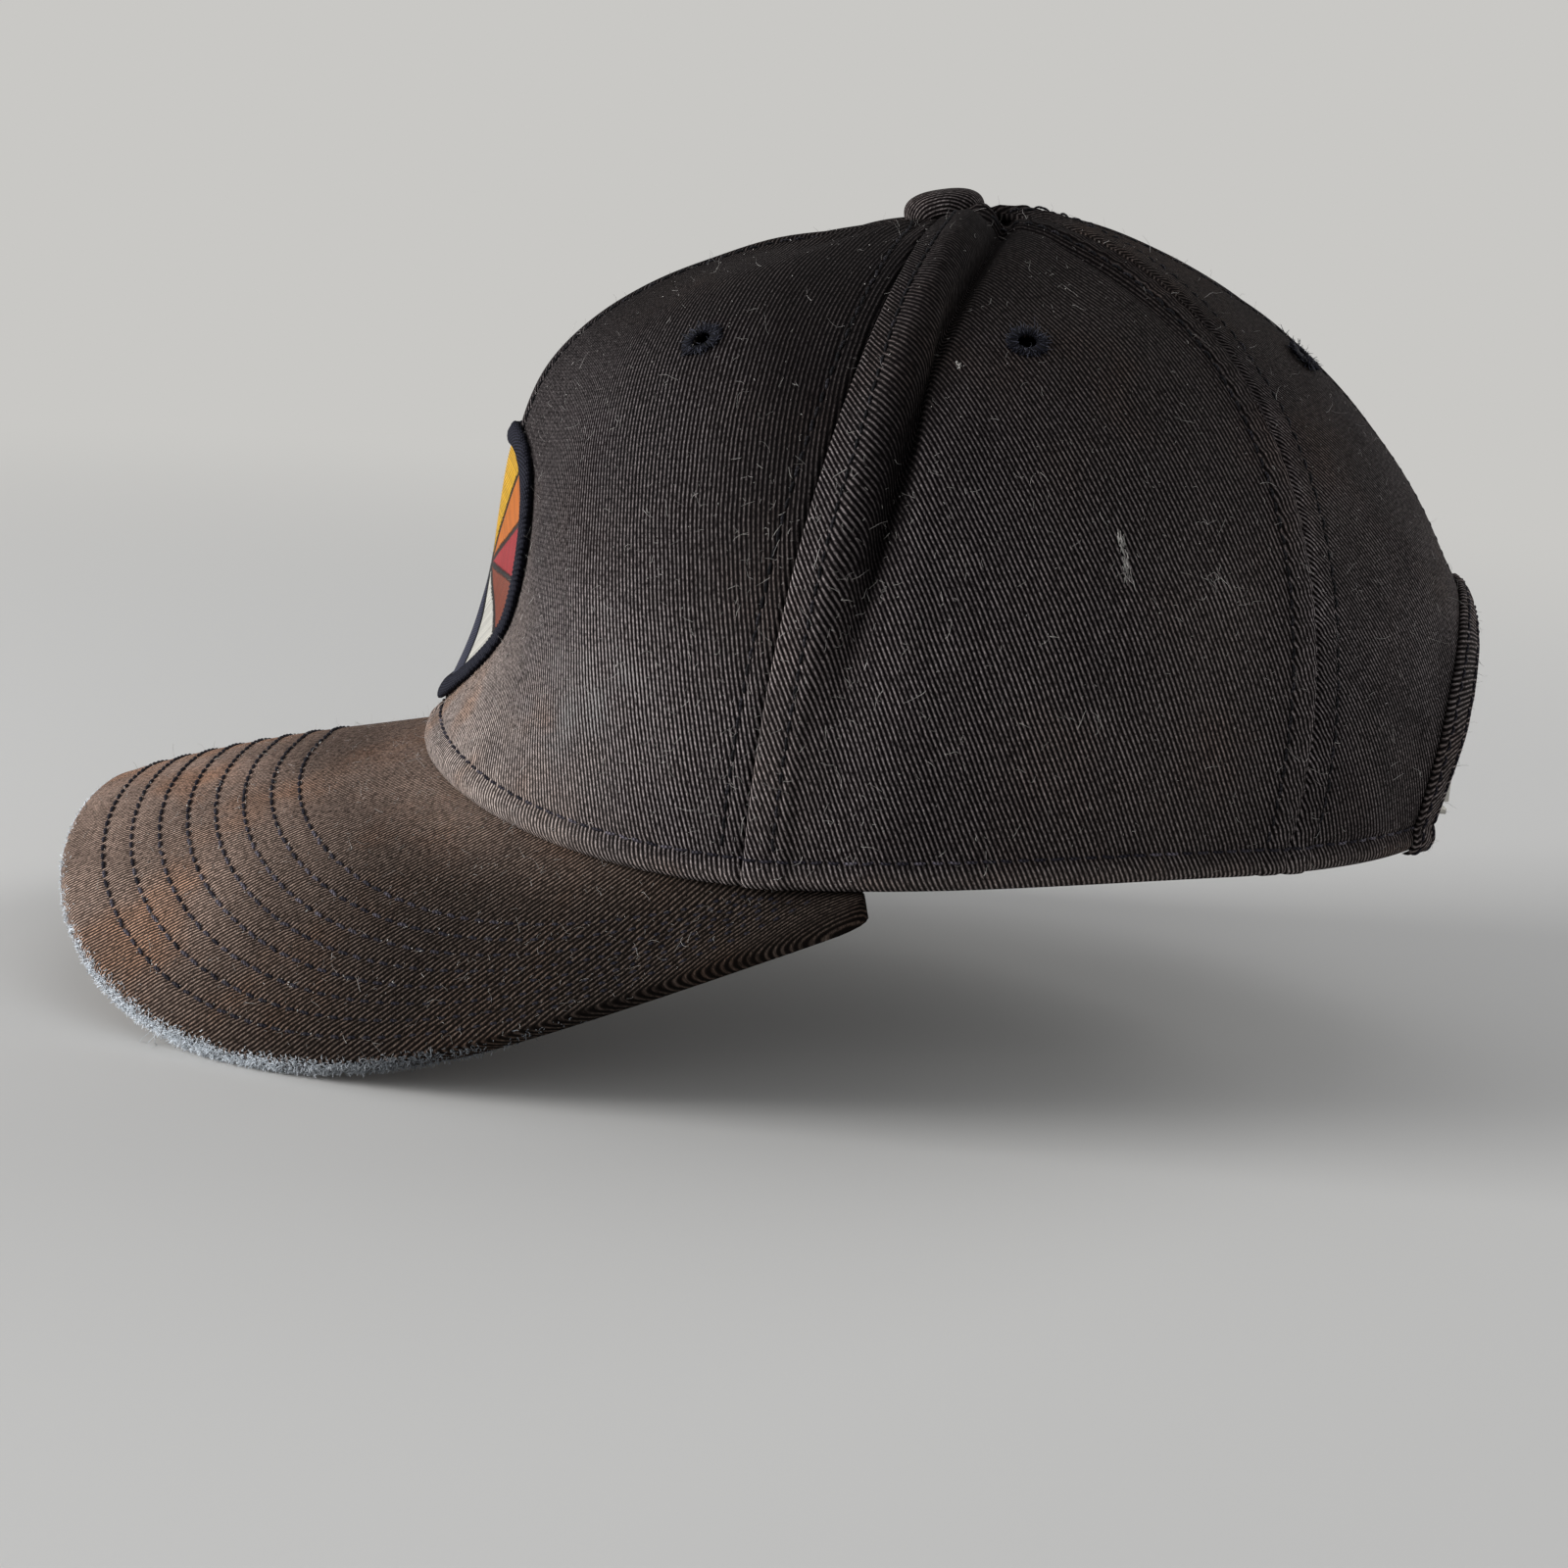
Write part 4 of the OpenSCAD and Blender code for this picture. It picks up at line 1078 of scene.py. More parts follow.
rings = []
for side in (1, -1):
    for k, place in enumerate(EYELETS.values()):
        c, n, x, y = crown_frame(*place)
        th, r, h, _ = wrapped_ring(turns=34, per_turn=6, sides=14, radius=2.6, half_w=1.1,
                                   half_h=0.45, slant=0, ripple=0.75, ragged=0.3)
        r = r * (1 + 0.06 * np.sin(2 * th + k) + 0.04 * np.sin(3 * th + 2 * k + side))
        ray = x * (r * np.cos(th))[..., None] + y * (r * np.sin(th))[..., None]
        p = c + n * 0.35 + ray + n * h[..., None]
        rings.append((mirrored(p.reshape(-1, 3), side), torus(*th.shape),
                      np.stack([h * 2, th * 3], -1).reshape(-1, 2)))
piece("eyelet_thread", joined(rings), eyelet_thread, "thread", nodes=["eyelets"])
print("eyelets", len(rings))


# %% Top button
BUTTON_R, BUTTON_H = 7.6, 4.3
tilt = np.arctan(0.2116)
top_axes = np.array([[1, 0, 0], [0, np.cos(tilt), np.sin(tilt)], [0, -np.sin(tilt), np.cos(tilt)]])
th, v = np.meshgrid(np.linspace(0, 2 * np.pi, 97)[:-1], np.linspace(0.02, 1, 26))
r = BUTTON_R * np.sin(v * np.pi / 2) ** 0.8 * (1 + 0.012 * np.sin(9 * th) * v)
h = BUTTON_H * np.cos(v * np.pi / 2) ** 0.72 + 0.12 * np.sin(5 * th + 1) * v ** 3 + 0.7
r = np.concatenate([r, r[-1:] * 0.97, r[-1:] * 0.8])
h = np.concatenate([h, h[-1:] - 0.6, h[-1:] - 0.9])
th = np.concatenate([th, th[:2]])
local = np.stack([r * np.cos(th), r * np.sin(th), h], -1)
flat = unit(local[..., :2]) * (run(local, 0) + 0.3)[..., None]
points = local @ top_axes + [0, APEX_Y, HEIGHT]
# The button's dark value paints an even shade on it.
piece("button_cloth", (points, grid(*th.shape, True)[:, ::-1], flat), crown_twill, "twill",
      nodes=["top_button"], fade=0.04 + 0 * th, wear=0.06 + 0.1 * hill(r, 7.3, 0.8), dark=0.5 + 0 * th)
print("button", 2 * BUTTON_R, "mm across")


# %% Badge
BADGE_Z, BADGE_R, BORDER = 39.5, 27.5, 4.4


def on_front(r, th, lift):
    """Point of the front at a radius and an angle from the badge's middle, lifted off the crown."""
    a, t = locate(r * np.sin(th), BADGE_Z + r * np.cos(th), False)
    return crown(a, t) + crown_normal(a, t) * np.asarray(lift)[..., None]


th, v = np.meshgrid(np.linspace(0, 2 * np.pi, 241)[:-1], np.linspace(0.01, 1, 40))
r = v * (BADGE_R - BORDER + 0.6)
puff = 0.4 * np.abs(np.sin(6 * th)) ** 0.5 * smooth(0.05, 0.4, v)
face, underside = on_front(r, th, 1.3 + puff - 0.25 * v ** 8), on_front(r, th, 0.3 + 0 * v)
uv = np.stack([r * np.sin(th), r * np.cos(th)], -1)
piece("badge_cloth", (*solid(face, underside, grid(*th.shape, True)), both(uv)), badge_cloth, "badge",
      nodes=["badge_disc"])
th, r, h, f = wrapped_ring(turns=170, per_turn=6, sides=16, radius=BADGE_R - BORDER / 2,
                           half_w=BORDER / 2, half_h=1.05, slant=0.03, ripple=0.5, ragged=0.12)
border = on_front(r, th, 1.35 + h), torus(*th.shape), np.stack([f * 2, th * 25], -1)
piece("badge_border_thread", border, border_thread, "thread", nodes=["badge_border"])
print("badge", 2 * BADGE_R, "mm across at height", BADGE_Z)


# %% [markdown]
# ## The opening at the back
# A folded hem follows the arch, sewn down along both its edges. It flares away from the head, as
# worn hems do. The strap runs inside it in an arc; the keeper folds round the buckle's bar. Curves
# with a flat bevel would give such strips, but not their thin edges and their flat cut, so each is a
# path of points, widened along a second direction. The buckle keeps its CAD solids, with soft edges.

# %% Arch hem
HEM_IN, HEM_OUT, HEM_CUT = -0.6, 7, 10.5
HEM_ROWS, HEM_PLACES = (1.3, 5.7), 240
ARCH_FOOT = 157.0  # degrees round the rim


def arch_path(n):
    """Points and outward directions of the opening's outline, from the left rim over the top."""
    low = float(rim_z(np.array(ARCH_FOOT)))
    long = 2 * (ARCH_Z - low) + np.pi * ARCH_R
    s = np.linspace(0, long, n)
    turn = np.clip((s - (ARCH_Z - low)) / ARCH_R, 0, np.pi)
    foot = np.where(s < long / 2, np.minimum(s, ARCH_Z - low), np.minimum(long - s, ARCH_Z - low))
    out = np.stack([np.cos(turn), np.sin(turn)], -1)
    return np.stack([ARCH_R * out[:, 0], low + foot + ARCH_R * out[:, 1]], -1), out, s


def hem_point(at, out, w, lift):
    """Hem surface at a distance w outside the opening, flared as the panel below it is."""
    xz = at + out * w[..., None]
    a, t = locate(np.abs(xz[..., 0]), xz[..., 1], True)
    height = relief("back", a, t, panel_seed("back", 1)) + lift
    p = crown(a, t) + crown_normal(a, t) * height[..., None]
    return p * np.stack([np.where(xz[..., 0] < 0, -1, 1), 1 + 0 * a, 1 + 0 * a], -1)


arch_at, arch_out, s = arch_path(HEM_PLACES)
w = np.linspace(HEM_IN, HEM_OUT, 26)[:, None] + 0 * s[None]
fold = 1.5 - 0.35 * hill(w, HEM_ROWS[0], 0.5) - 0.35 * hill(w, HEM_ROWS[1], 0.5)
fold = fold - 0.7 * hill(w, HEM_IN, 0.5) - 0.6 * hill(w, HEM_OUT, 0.5)
ripple = np.sin(s[None] / 1.45 + 2 * noise(np.stack([w, w, 0 * w + s], -1), 6, 3))
fold = fold + 0.16 * ripple * hill(w, 3.5, 2.6)
outer = hem_point(arch_at[None], arch_out[None], w, fold)
inner = hem_point(arch_at[None], arch_out[None], w, np.where(w < 0.8, -0.9, 0.25))
shape = solid(outer, inner, grid(*w.shape)[:, ::-1])
# The hem's dark value paints an even shade on it.
made = piece("arch_hem_cloth", (*shape, both(turned(w, s, 0.6, 0.8))), crown_twill, "twill",
             nodes=["arch_hem"],
             **marks(fade=0.08 + 0 * w, dark=0.35 + 0 * w, wear=0.12 + 0.25 * hill(w, 0, 1)))
rows = []
for k in HEM_ROWS:
    line, beside = (hem_point(arch_at, arch_out, np.full(HEM_PLACES, k + e), np.full(HEM_PLACES, 1.2))
                    for e in (0, 0.5))
    n = unit(np.cross(np.gradient(line, axis=0), beside - line))
    rows.append((line, n * np.sign(n[:, 1:2])))
piece("hem_stitching", stitches(rows), navy_thread, "thread")
print("hem", round(s[-1], 1), "mm round the opening")


# %% Strap
STRAP_Y, STRAP_R, STRAP_Z = 24.8938, 71.8627, 16
STRAP_W, STRAP_HALF_T, STRAP_HALF_ANGLE = 16, 0.7, 37


def thinned(z, half_w, edge, share):
    """Share of a strip's thickness: 1, falling over the last edge mm as sqrt(1 - share e^2)."""
    return np.sqrt(1 - np.clip((np.abs(z) - (half_w - edge)) / edge, 0, 1) ** 2 * share)


a, z = np.meshgrid(np.linspace(-STRAP_HALF_ANGLE, STRAP_HALF_ANGLE, 150),
                   gathered(24, 0.7) * STRAP_W - STRAP_W / 2)


def strap_point(r):
    """The strap's arc at a radius from its centre."""
    x, y = r * np.sin(np.radians(a)), STRAP_Y + r * np.cos(np.radians(a))
    return np.stack([x, y, STRAP_Z + z], -1)


half = STRAP_HALF_T * thinned(z, STRAP_W / 2, 0.7, 0.97)
yarn = 0.05 * noise(np.stack([a * 1.25, z, 0 * a], -1), 4, 6)
middle = STRAP_R - STRAP_HALF_T
shape = solid(strap_point(middle + half + yarn - 0.05), strap_point(middle - half),
              grid(*a.shape)[:, ::-1])
made = piece("strap_cloth", (*shape, both(turned(a * 1.25, z, 0.82, 0.57))), crown_twill, "twill",
             "strap", ["closure_strap"],
             **marks(fade=0.08 + 0 * z, wear=0.12 + 0.4 * hill(np.abs(z), 8, 0.8)))


# %% Keeper
KEEPER_W, KEEPER_HALF_T, BAR_WRAP_R = 15, 0.23, 1.8
KEEPER_ENDS, KEEPER_LEVEL, KEEPER_ROW = (145.8, 160.5), 24.0, 5.9
KEEPER_LEGS = (-2.68, -2.12)  # insets of its two layers, outside the panel
BAR = np.array([25.621, 95.902])  # the buckle's bar in plan
OUT = unit(BAR - [0, STRAP_Y])
round_back = np.linspace(*KEEPER_ENDS, 24)
level = t_at(180.0, KEEPER_LEVEL) + 0 * round_back
turn = np.linspace(0, np.pi, 20)[:, None]
path = np.concatenate([crown(round_back, level, KEEPER_LEGS[0])[:, :2],
                       BAR + BAR_WRAP_R * (np.cos(turn) * OUT + np.sin(turn) * [-OUT[1], OUT[0]]),
                       crown(round_back[::-1], level, KEEPER_LEGS[1])[:, :2]]) * [-1, 1]
at = np.linspace(0, run(path, 0)[-1], 150)
path = np.stack([np.interp(at, run(path, 0), path[:, k]) for k in (0, 1)], -1)
tangent = unit(np.gradient(path, axis=0))
out = np.stack([-tangent[:, 1], tangent[:, 0]], -1)
z = (gathered(22, 0.7) * KEEPER_W - KEEPER_W / 2)[:, None] + 0 * at
half = KEEPER_HALF_T * thinned(z, KEEPER_W / 2, 0.4, 0.9)
wave = 0.07 * noise(np.stack([z, 0 * z + at, 0 * z], -1), 4, 8)


def keeper_face(lift):
    """The keeper's folded path, lifted to one side, over its width."""
    plan = path[None] + out[None] * lift[..., None]
    return np.concatenate([plan, STRAP_Z + z[..., None]], -1)


shape = solid(keeper_face(half + wave), keeper_face(wave - half), grid(*z.shape)[:, ::-1])
made = piece("keeper_cloth", (*shape, both(turned(at, z, 0.8, 0.6))), crown_twill, "twill",
             nodes=["buckle_keeper"],
             **marks(fade=0.08 + 0 * z, wear=0.1 + 0.3 * hill(np.abs(z), 7.5, 0.7)))
face = np.concatenate([path + out * 0.28, STRAP_Z + 0 * path[:, :1]], -1)
normal = np.concatenate([out, 0 * out[:, :1]], -1)
rows = [(face[3:32] + [0, 0, h], normal[3:32]) for h in (-KEEPER_ROW, KEEPER_ROW)]
for k in (3, 32):
    rise = np.linspace(-KEEPER_ROW, KEEPER_ROW, 40)[:, None] * [0, 0, 1]
    rows.append((face[k] + rise, normal[k] + 0 * rise))
piece("keeper_stitching", stitches(rows, pitch=2.4, length=1.9), navy_thread, "thread")
print("keeper", round(at[-1], 1), "mm of folded strip")


# %% Buckle and rivet
STEEL = ("buckle_frame", "buckle_pin", "buckle_lever", "button_rivet")
EDGE_R, SHARP = 0.00022, np.radians(38)
for name in STEEL:
    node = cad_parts[name]
    node.data.materials.clear()
    node.data.materials.append(steel)
    node.data.polygons.foreach_set("use_smooth", np.ones(len(node.data.polygons), bool))
    node.modifiers.new("weld", "WELD").merge_threshold = 1e-5
    bevel = node.modifiers.new("bevel", "BEVEL")
    bevel.width, bevel.segments, bevel.limit_method = EDGE_R, 2, "ANGLE"
    bevel.angle_limit, bevel.harden_normals = SHARP, True
print("steel pieces of the CAD", len(STEEL))


# %% [markdown]
# ## Inside the crown
# The inner pieces are layers of the same crown formula, each at its own depth. A cloth simulation
# could settle them, but they are sewn flat to the panels and hardly move, so their shape is a depth
# that varies over the piece: a rolled edge, a pucker at a stitch, the swell of a pad.

# %% Sweatband
BAND_W, BAND_END, BAND_ROWS = 30, 138, (2.6, 27.5)


def layer(a, t, outer, inner):
    """Points and quads of a body between two depths under the crown's face."""
    return solid(crown(a, t, outer), crown(a, t, inner), grid(*a.shape))


def flat_map(a, t, depth):
    """Lengths in mm along the rows and up the middle line of a layer, for both of its faces."""
    p = crown(a, t, depth)
    across = run(p, 1) - run(p, 1)[:, a.shape[1] // 2, None]
    return both(np.stack([across, run(p, 0)[:, a.shape[1] // 2, None] + 0 * a], -1)).reshape(-1, 2)


a = np.linspace(-BAND_END, BAND_END, 420)[None, :]
v = gathered(30, 0.8)[:, None]
up = v * BAND_W
a, t = a + 0 * v, v * t_at(a, rim_z(a) + BAND_W)
pucker = 0.12 * np.sin(np.radians(a) * 150 + 2 * noise(crown(a, t), 12, 2))
thin = 0.55 * np.clip((np.abs(up - BAND_W / 2) - 13.6) / 1.4, 0, 1) ** 2
deep = 4.5 + pucker * hill(up, 4, 5)
for high in BAND_ROWS:
    deep = deep - 0.3 * hill(up, high, 0.7)
made = piece("sweatband_cloth", (*layer(a, t, 3.3 + thin, deep - thin), flat_map(a, t, 4)),
             lining_cloth, "lining", nodes=["sweatband"])
band_length = run(crown(a, t, 4), 1)[15, -1]
rows = []
line = np.linspace(-136, 136, 700)
for high in BAND_ROWS:
    share = t_at(line, rim_z(line) + high)
    rows.append((crown(line, share, 4.4), -crown_normal(line, share)))
piece("sweatband_stitching", stitches(rows, pitch=3.2, length=2.4), navy_thread, "thread")
print("sweatband", round(band_length), "mm")


# %% Seam tapes and stiffener
TAPE_W, TAPE_T = 12, 0.6


def tape(seam, low, outer, side):
    """A strip over a seam at a depth under the crown, with a groove along both rows of stitches."""
    t = np.linspace(low, 0.84, 100)[:, None]
    w = np.linspace(-TAPE_W / 2, TAPE_W / 2, 19)[None, :]
    a = side * seam(t) + w / (HALF_W * np.radians(1) * shares(seam(t), t)[0])
    t = t + 0 * w
    bow = 0.18 * hill(np.abs(w), 4.4, 0.5) - 0.1 * hill(w, 0, 2)
    return *layer(a, t, outer, outer + TAPE_T - bow), flat_map(a, t, outer)


arch_top = float(t_at(180.0, 52.0))
strips = [tape(centre_front, low=0.3, outer=2.4, side=1),
          tape(centre_back, low=arch_top, outer=1.3, side=1)]
strips += [tape(seam, low=0.03, outer=1.3, side=side)
           for seam in (front_seam, back_seam) for side in (1, -1)]
shape = joined(strips)
made = piece("seam_tape_cloth", shape, lining_cloth, "lining", nodes=["seam_tapes"])
area(*shape[:2]) / (TAPE_W * MM)

halves = []
for side in (1, -1):
    t = np.linspace(1, 8, 60)[:, None] / 14 * 0.98
    w = (gathered(70, 0.5) * 10 / 12)[None, ::side]
    a, t = side * (0.04 + front_seam(t) * w), t + 0 * w
    halves.append((*layer(a, t, 1.3, 2.1), flat_map(a, t, 1.7)))
shape = joined(halves)
made = piece("stiffener_cloth", shape, buckram, "lining", nodes=["front_stiffener"])
area(*shape[:2])


# %% [markdown]
# ## The insert
# A hard vented shell keeps knocks off the head; its edge is capped with a soft trim, and hook tabs
# hold it to loop tabs in the cap. Vents could be cut with Boolean modifiers, which leave ragged
# shading. Here the quads inside each slot are dropped from the shell's grid, and the points round
# the gap are moved onto the slot's outline.

# %% Vented shell
VENTS = np.array([(24, 74), (52, 72), (82, 74), (134, 80),
                  (38, 95), (84, 99), (122, 99), (160, 100)], float)  # degrees, height
SLOT_R, SLOT_HALF = 2.5, 7.5
NEAR_SLOT = 30
SHELL_OUT, SHELL_MID, SHELL_IN = 4.95, 6.2, 7.45


def edge_z(a):
    """Lower edge of the shell: 41 mm, rising to 56 mm over the opening at the back."""
    return 41 + 15 * ease((np.degrees(np.arccos(np.cos(np.radians(a)))) - 120) / 40)


def slot(p, centre, down, side):
    """Signed distance to a slot 5 x 20 mm in its own plane, and the way straight out of it."""
    x, y = (p - centre) @ down, (p - centre) @ side
    x = x - np.clip(x, -SLOT_HALF, SLOT_HALF)
    long = np.maximum(np.hypot(x, y), 1e-6)
    return long - SLOT_R, (x / long)[..., None] * down + (y / long)[..., None] * side


def far(p, centre):
    """Whether points are too far from a slot's centre to belong to it."""
    return np.linalg.norm(p - centre, axis=-1) > NEAR_SLOT


a = np.linspace(-180, 180, 421)[None, :-1]
v = np.linspace(0, 1, 104)[:, None]
t = t_at(a, edge_z(a)) * (1 - v) + v
a = a + 0 * v
sheets = {depth: crown(a, t, depth).reshape(-1, 3) for depth in (SHELL_OUT, SHELL_MID, SHELL_IN)}
quads = grid(*a.shape, True)
centres = sheets[SHELL_MID][quads].mean(1)
keep = np.ones(len(quads), bool)
vents = []
for side in (1, -1):
    for place in VENTS:
        at, high = place[:, None]
        share = t_at(at, high)
        n = mirrored(crown_normal(at, share)[0], side)
        centre = mirrored(crown(at, share, SHELL_MID)[0], side)
        across = unit(np.cross([0, 0, 1], n))
        vents.append((centre, np.cross(across, n), across))
        keep &= (slot(centres, *vents[-1])[0] > 0) | far(centres, centre)
rim = np.intersect1d(quads[keep], quads[~keep])
for p in sheets.values():
    apart = np.stack([np.where(far(p[rim], vent[0]), 99, slot(p[rim], *vent)[0]) for vent in vents])
    nearest = np.abs(apart).argmin(0)
    for k, vent in enumerate(vents):
        mine = rim[nearest == k]
        distance, way = slot(p[mine], *vent)
        p[mine] -= way * distance[:, None]
piece("shell_moulding", solid(sheets[SHELL_OUT], sheets[SHELL_IN], quads[keep]), shell_plastic,
      "shell", "insert", ["impact_shell"])
print("vents", len(vents))


# %% Edge trim
a = np.linspace(-180, 180, 361)[None, :-1]
f = np.linspace(0, 2 * np.pi, 20, endpoint=False)[:, None]
a, f = a + 0 * f, f + 0 * a
t = t_at(a, edge_z(a) - 1.57 + 1.42 * signed_power(np.sin(f), 0.6))
points = crown(a, t, SHELL_MID - 1.35 * signed_power(np.cos(f), 0.6))
piece("trim_moulding", (points, torus(*a.shape)), trim_rubber, "foam", "insert", ["shell_edge_trim"])
print("trim", round(run(points, 1)[0, -1]), "mm round the shell's edge")


# %% Hook and loop tabs
TAB_W, TAB_H, TAB_T, NAP = 18, 14, 1.6, 0.14
TABS = ((108.0, 78.0), (158.0, 77.0))


def tab(mid, z, side, outer):
    """A patch with rounded corners at a depth under the crown, its gripping face napped.

    A loop tab, under 2 mm deep, grips with its inner face, and a hook tab with its outer one.
    """
    at, high = np.array([mid]), np.array([z])
    c = crown(at, t_at(at, high))[0]
    half = np.degrees(TAB_W / 2 / np.linalg.norm(c - [0, APEX_Y, z]))
    th = np.linspace(0, 2 * np.pi, 85)[None, :-1]
    r = np.concatenate([np.linspace(0.02, 0.9, 14), np.linspace(0.92, 1, 6)])[:, None]
    a = mid + half * r * signed_power(np.cos(th), 0.35)
    up = z + TAB_H / 2 * r * signed_power(np.sin(th), 0.35)
    t = t_at(a, up)
    rough = NAP - (NAP * rng.random(a.shape) - 0.5 * r ** 12)
    outside = crown(a, t, outer + rough * (outer > 2))
    inside = crown(a, t, outer + TAB_T - rough * (outer < 2))
    points, quads = solid(outside, inside, grid(*a.shape, True)[:, ::-1])
    uv = both(np.stack([a * 1.5, up], -1)).reshape(-1, 2)
    return mirrored(points, side), quads[:, ::side], uv


TAB_KINDS = (("loop_tabs", 1.3, "cap", loop_pile, "side_panel_left_cloth"),
             ("hook_tabs", 3.2, "insert", hooks, "shell_moulding"))
for name, outer, body, material, under in TAB_KINDS:
    shape = joined([tab(mid, z, side, outer) for mid, z in TABS for side in (1, -1)])
    made = piece(name + "_cloth", shape, material, "lining", body, [name])
print("tabs", 2 * len(TABS), "pairs")


# %% [markdown]
# ## Pads
# Foam pads in cloth covers, welded flat round their edges. A cloth simulation with pressure could
# swell them, but the swell is even and simple: a formula of the distance r from the pad's middle,
# full until near the edge and pinched at the weld.

# %% Foam pads
PAD_TOP, PAD_FILL = 8.1, 0.8
PADS = (("front_pad", 0, 36, 48, 60), ("side_pad_left", 95, 21, 48, 62),
        ("side_pad_right", -95, 21, 48, 62), ("rear_pad", 180, 26, 64, 74))


def swell(r):
    """Thickness of a pad: 4.5 sqrt(1 - r^6), less a groove at the weld."""
    return 0.4 + 4.5 * np.sqrt(np.clip(1 - r ** 6, 0, 1)) - 0.8 * hill(r, 0.84, 0.035)


def pad(name, a, t, r):
    """A pad under the shell, with the flat coordinates of the plane that it faces."""
    puff = swell(r) + 0.12 * noise(crown(a, t, 8), 7, 3) * (1 - r ** 2)
    shape = solid(crown(a, t, PAD_TOP), crown(a, t, PAD_TOP + puff), grid(*a.shape, True)[:, ::-1])
    p = crown(a, t, 10)
    middle = p.reshape(-1, 3).mean(0)
    n = unit(middle - [0, APEX_Y, 40])
    x, y = frame_on(n) if abs(n[2]) < 0.95 else np.eye(3)[:2]
    uv = both(np.stack([(p - middle) @ x, (p - middle) @ y], -1))
    made = piece(name + "_cover", (*shape, uv), pad_cloth, "foam", "insert", [name])
    return made


r = np.concatenate([np.linspace(0.02, 0.74, 22), np.linspace(0.765, 1, 14)])[:, None]
th = np.linspace(0, 2 * np.pi, 161)[None, :-1]
for name, middle, wide, low, high in PADS:
    a = middle + wide * r * signed_power(np.cos(th), 0.42)
    t = t_at(a, (low + high) / 2 + (high - low) / 2 * r * signed_power(np.sin(th), 0.42))
    pad(name, a, t, r + 0 * a)
a = np.degrees(th - np.pi) + 0 * r
pad("crown_pad", a, 1 - 0.18 * r + 0 * a, r + 0 * a)
print("pads", len(PADS) + 1)


# %% [markdown]
# ## Lint and frayed threads
# Years of wear leave the cloth covered with pale hairs, and have ground the visor's edge down to
# its fibres. A particle system could scatter hairs, but its hairs aren't meshes that travel with the
# part. Here each is a thin tube along a path that turns at random, all worked out at once.

# %% One hair
HAIR_SIDES = 3


def hairs(root, way, length, radius, curl, steps=7):
    """Tubes along paths whose direction wanders: way + curl * sum of random turns."""
    count = len(root)
    turns = np.cumsum(rng.normal(0, 1, (count, steps, 3)), axis=1)
    way = unit(way[:, None] + np.reshape(curl, (-1, 1, 1)) * turns)
    path = root[:, None] + np.cumsum(way, axis=1) * (length / steps)[:, None, None]
    b = unit(np.cross(way, unit(rng.normal(0, 1, (count, 1, 3)))))
    n = np.cross(way, b)
    f = np.arange(HAIR_SIDES) * 2 * np.pi / HAIR_SIDES
    r = radius[:, None, None, None] * np.linspace(1, 0.45, steps)[None, :, None, None]
    ring = np.cos(f)[:, None] * b[:, :, None] + np.sin(f)[:, None] * n[:, :, None]
    points = path[:, :, None] + r * ring
    quads = grid(steps, HAIR_SIDES, True)[None] + np.arange(count)[:, None, None] * steps * HAIR_SIDES
    return points.reshape(-1, 3), quads.reshape(-1, 4)


print("faces of a hair of 7 rings", 6 * HAIR_SIDES)


# %% Lint, and painted glints along the visor's rows
def on_cloth(a, t):
    """Points and normals on the outer face of the panels, on both sides of the cap."""
    side, b = np.where(a < 0, -1.0, 1.0), np.abs(a)
    inside = [(b < front_seam(t))[:, None], (b < back_seam(t))[:, None]]
    faces = [panel_face(kind, b, t, panel_seed(kind, 1)) for kind in PANELS]
    p = np.select(inside, [faces[0][0], faces[1][0]], faces[2][0])
    flip = np.stack([side, 1 + 0 * side, 1 + 0 * side], -1)
    return p * flip, faces[0][1] * flip


def lint(name, p, n, low, high, radius, curl):
    """Hairs that lie on a face, from low to high mm long; most rise from it a little."""
    flat = np.cross(n, unit(rng.normal(0, 1, p.shape)))
    way = unit(flat) + n * rng.uniform(-0.05, 0.35, len(p))[:, None]
    length = low * (high / low) ** rng.random(len(p))
    shape = hairs(p + n * 0.12, way, length, radius * rng.uniform(0.7, 1.3, len(p)), curl)
    piece(name, shape, lint_and_glint_hair, "thread")
    print(name, len(p))


many = 4600
a, t = rng.uniform(-178, 178, many), rng.uniform(0.01, 0.95, many)
p, n = on_cloth(a, t)
clear = (arch_gap(p[:, 0], p[:, 2]) > 3) | (p[:, 1] < 0)
clear &= rng.random(many) < 0.1 + 0.9 * (1 - t) ** 1.3
lint("crown_lint", p[clear], n[clear], low=0.4, high=5, radius=0.032, curl=0.45)
many = 1500
a = rng.uniform(-80, 80, many)
d = rng.uniform(0.02, 0.97, many) * visor_reach(a)
lint("visor_lint", *visor_face(a, d, 1), low=0.4, high=4, radius=0.032, curl=0.5)
many = 700
a, t = rng.choice([-1, 1], many) * rng.normal(76, 11, many), rng.uniform(0.02, 0.45, many)
lint("seam_lint", *on_cloth(a, t), low=0.8, high=5, radius=0.036, curl=0.5)
many = 420
a, t = rng.uniform(-150, 150, many), rng.uniform(0.03, 0.9, many)
lint("specks", *on_cloth(a, t), low=0.2, high=0.6, radius=0.09, curl=0.7)
# Painted glints: short pale hairs along the visor's rows of stitches stand for highlights at the
# stitch ends.
many = 520
a, d = rng.uniform(-60, 60, many), rng.choice(ROWS, many) + rng.normal(0, 0.3, many)
lint("row_glints", *visor_face(a, d, 1), low=0.2, high=0.7, radius=0.15, curl=0.7)


# %% Frayed edges
FRAY_STEPS, TUFT = 4, 14


def above_low(points):
    """Hairs that hang below the visor are bent up onto its lowest level."""
    points[:, 2] = np.maximum(points[:, 2], LOW)
    return points


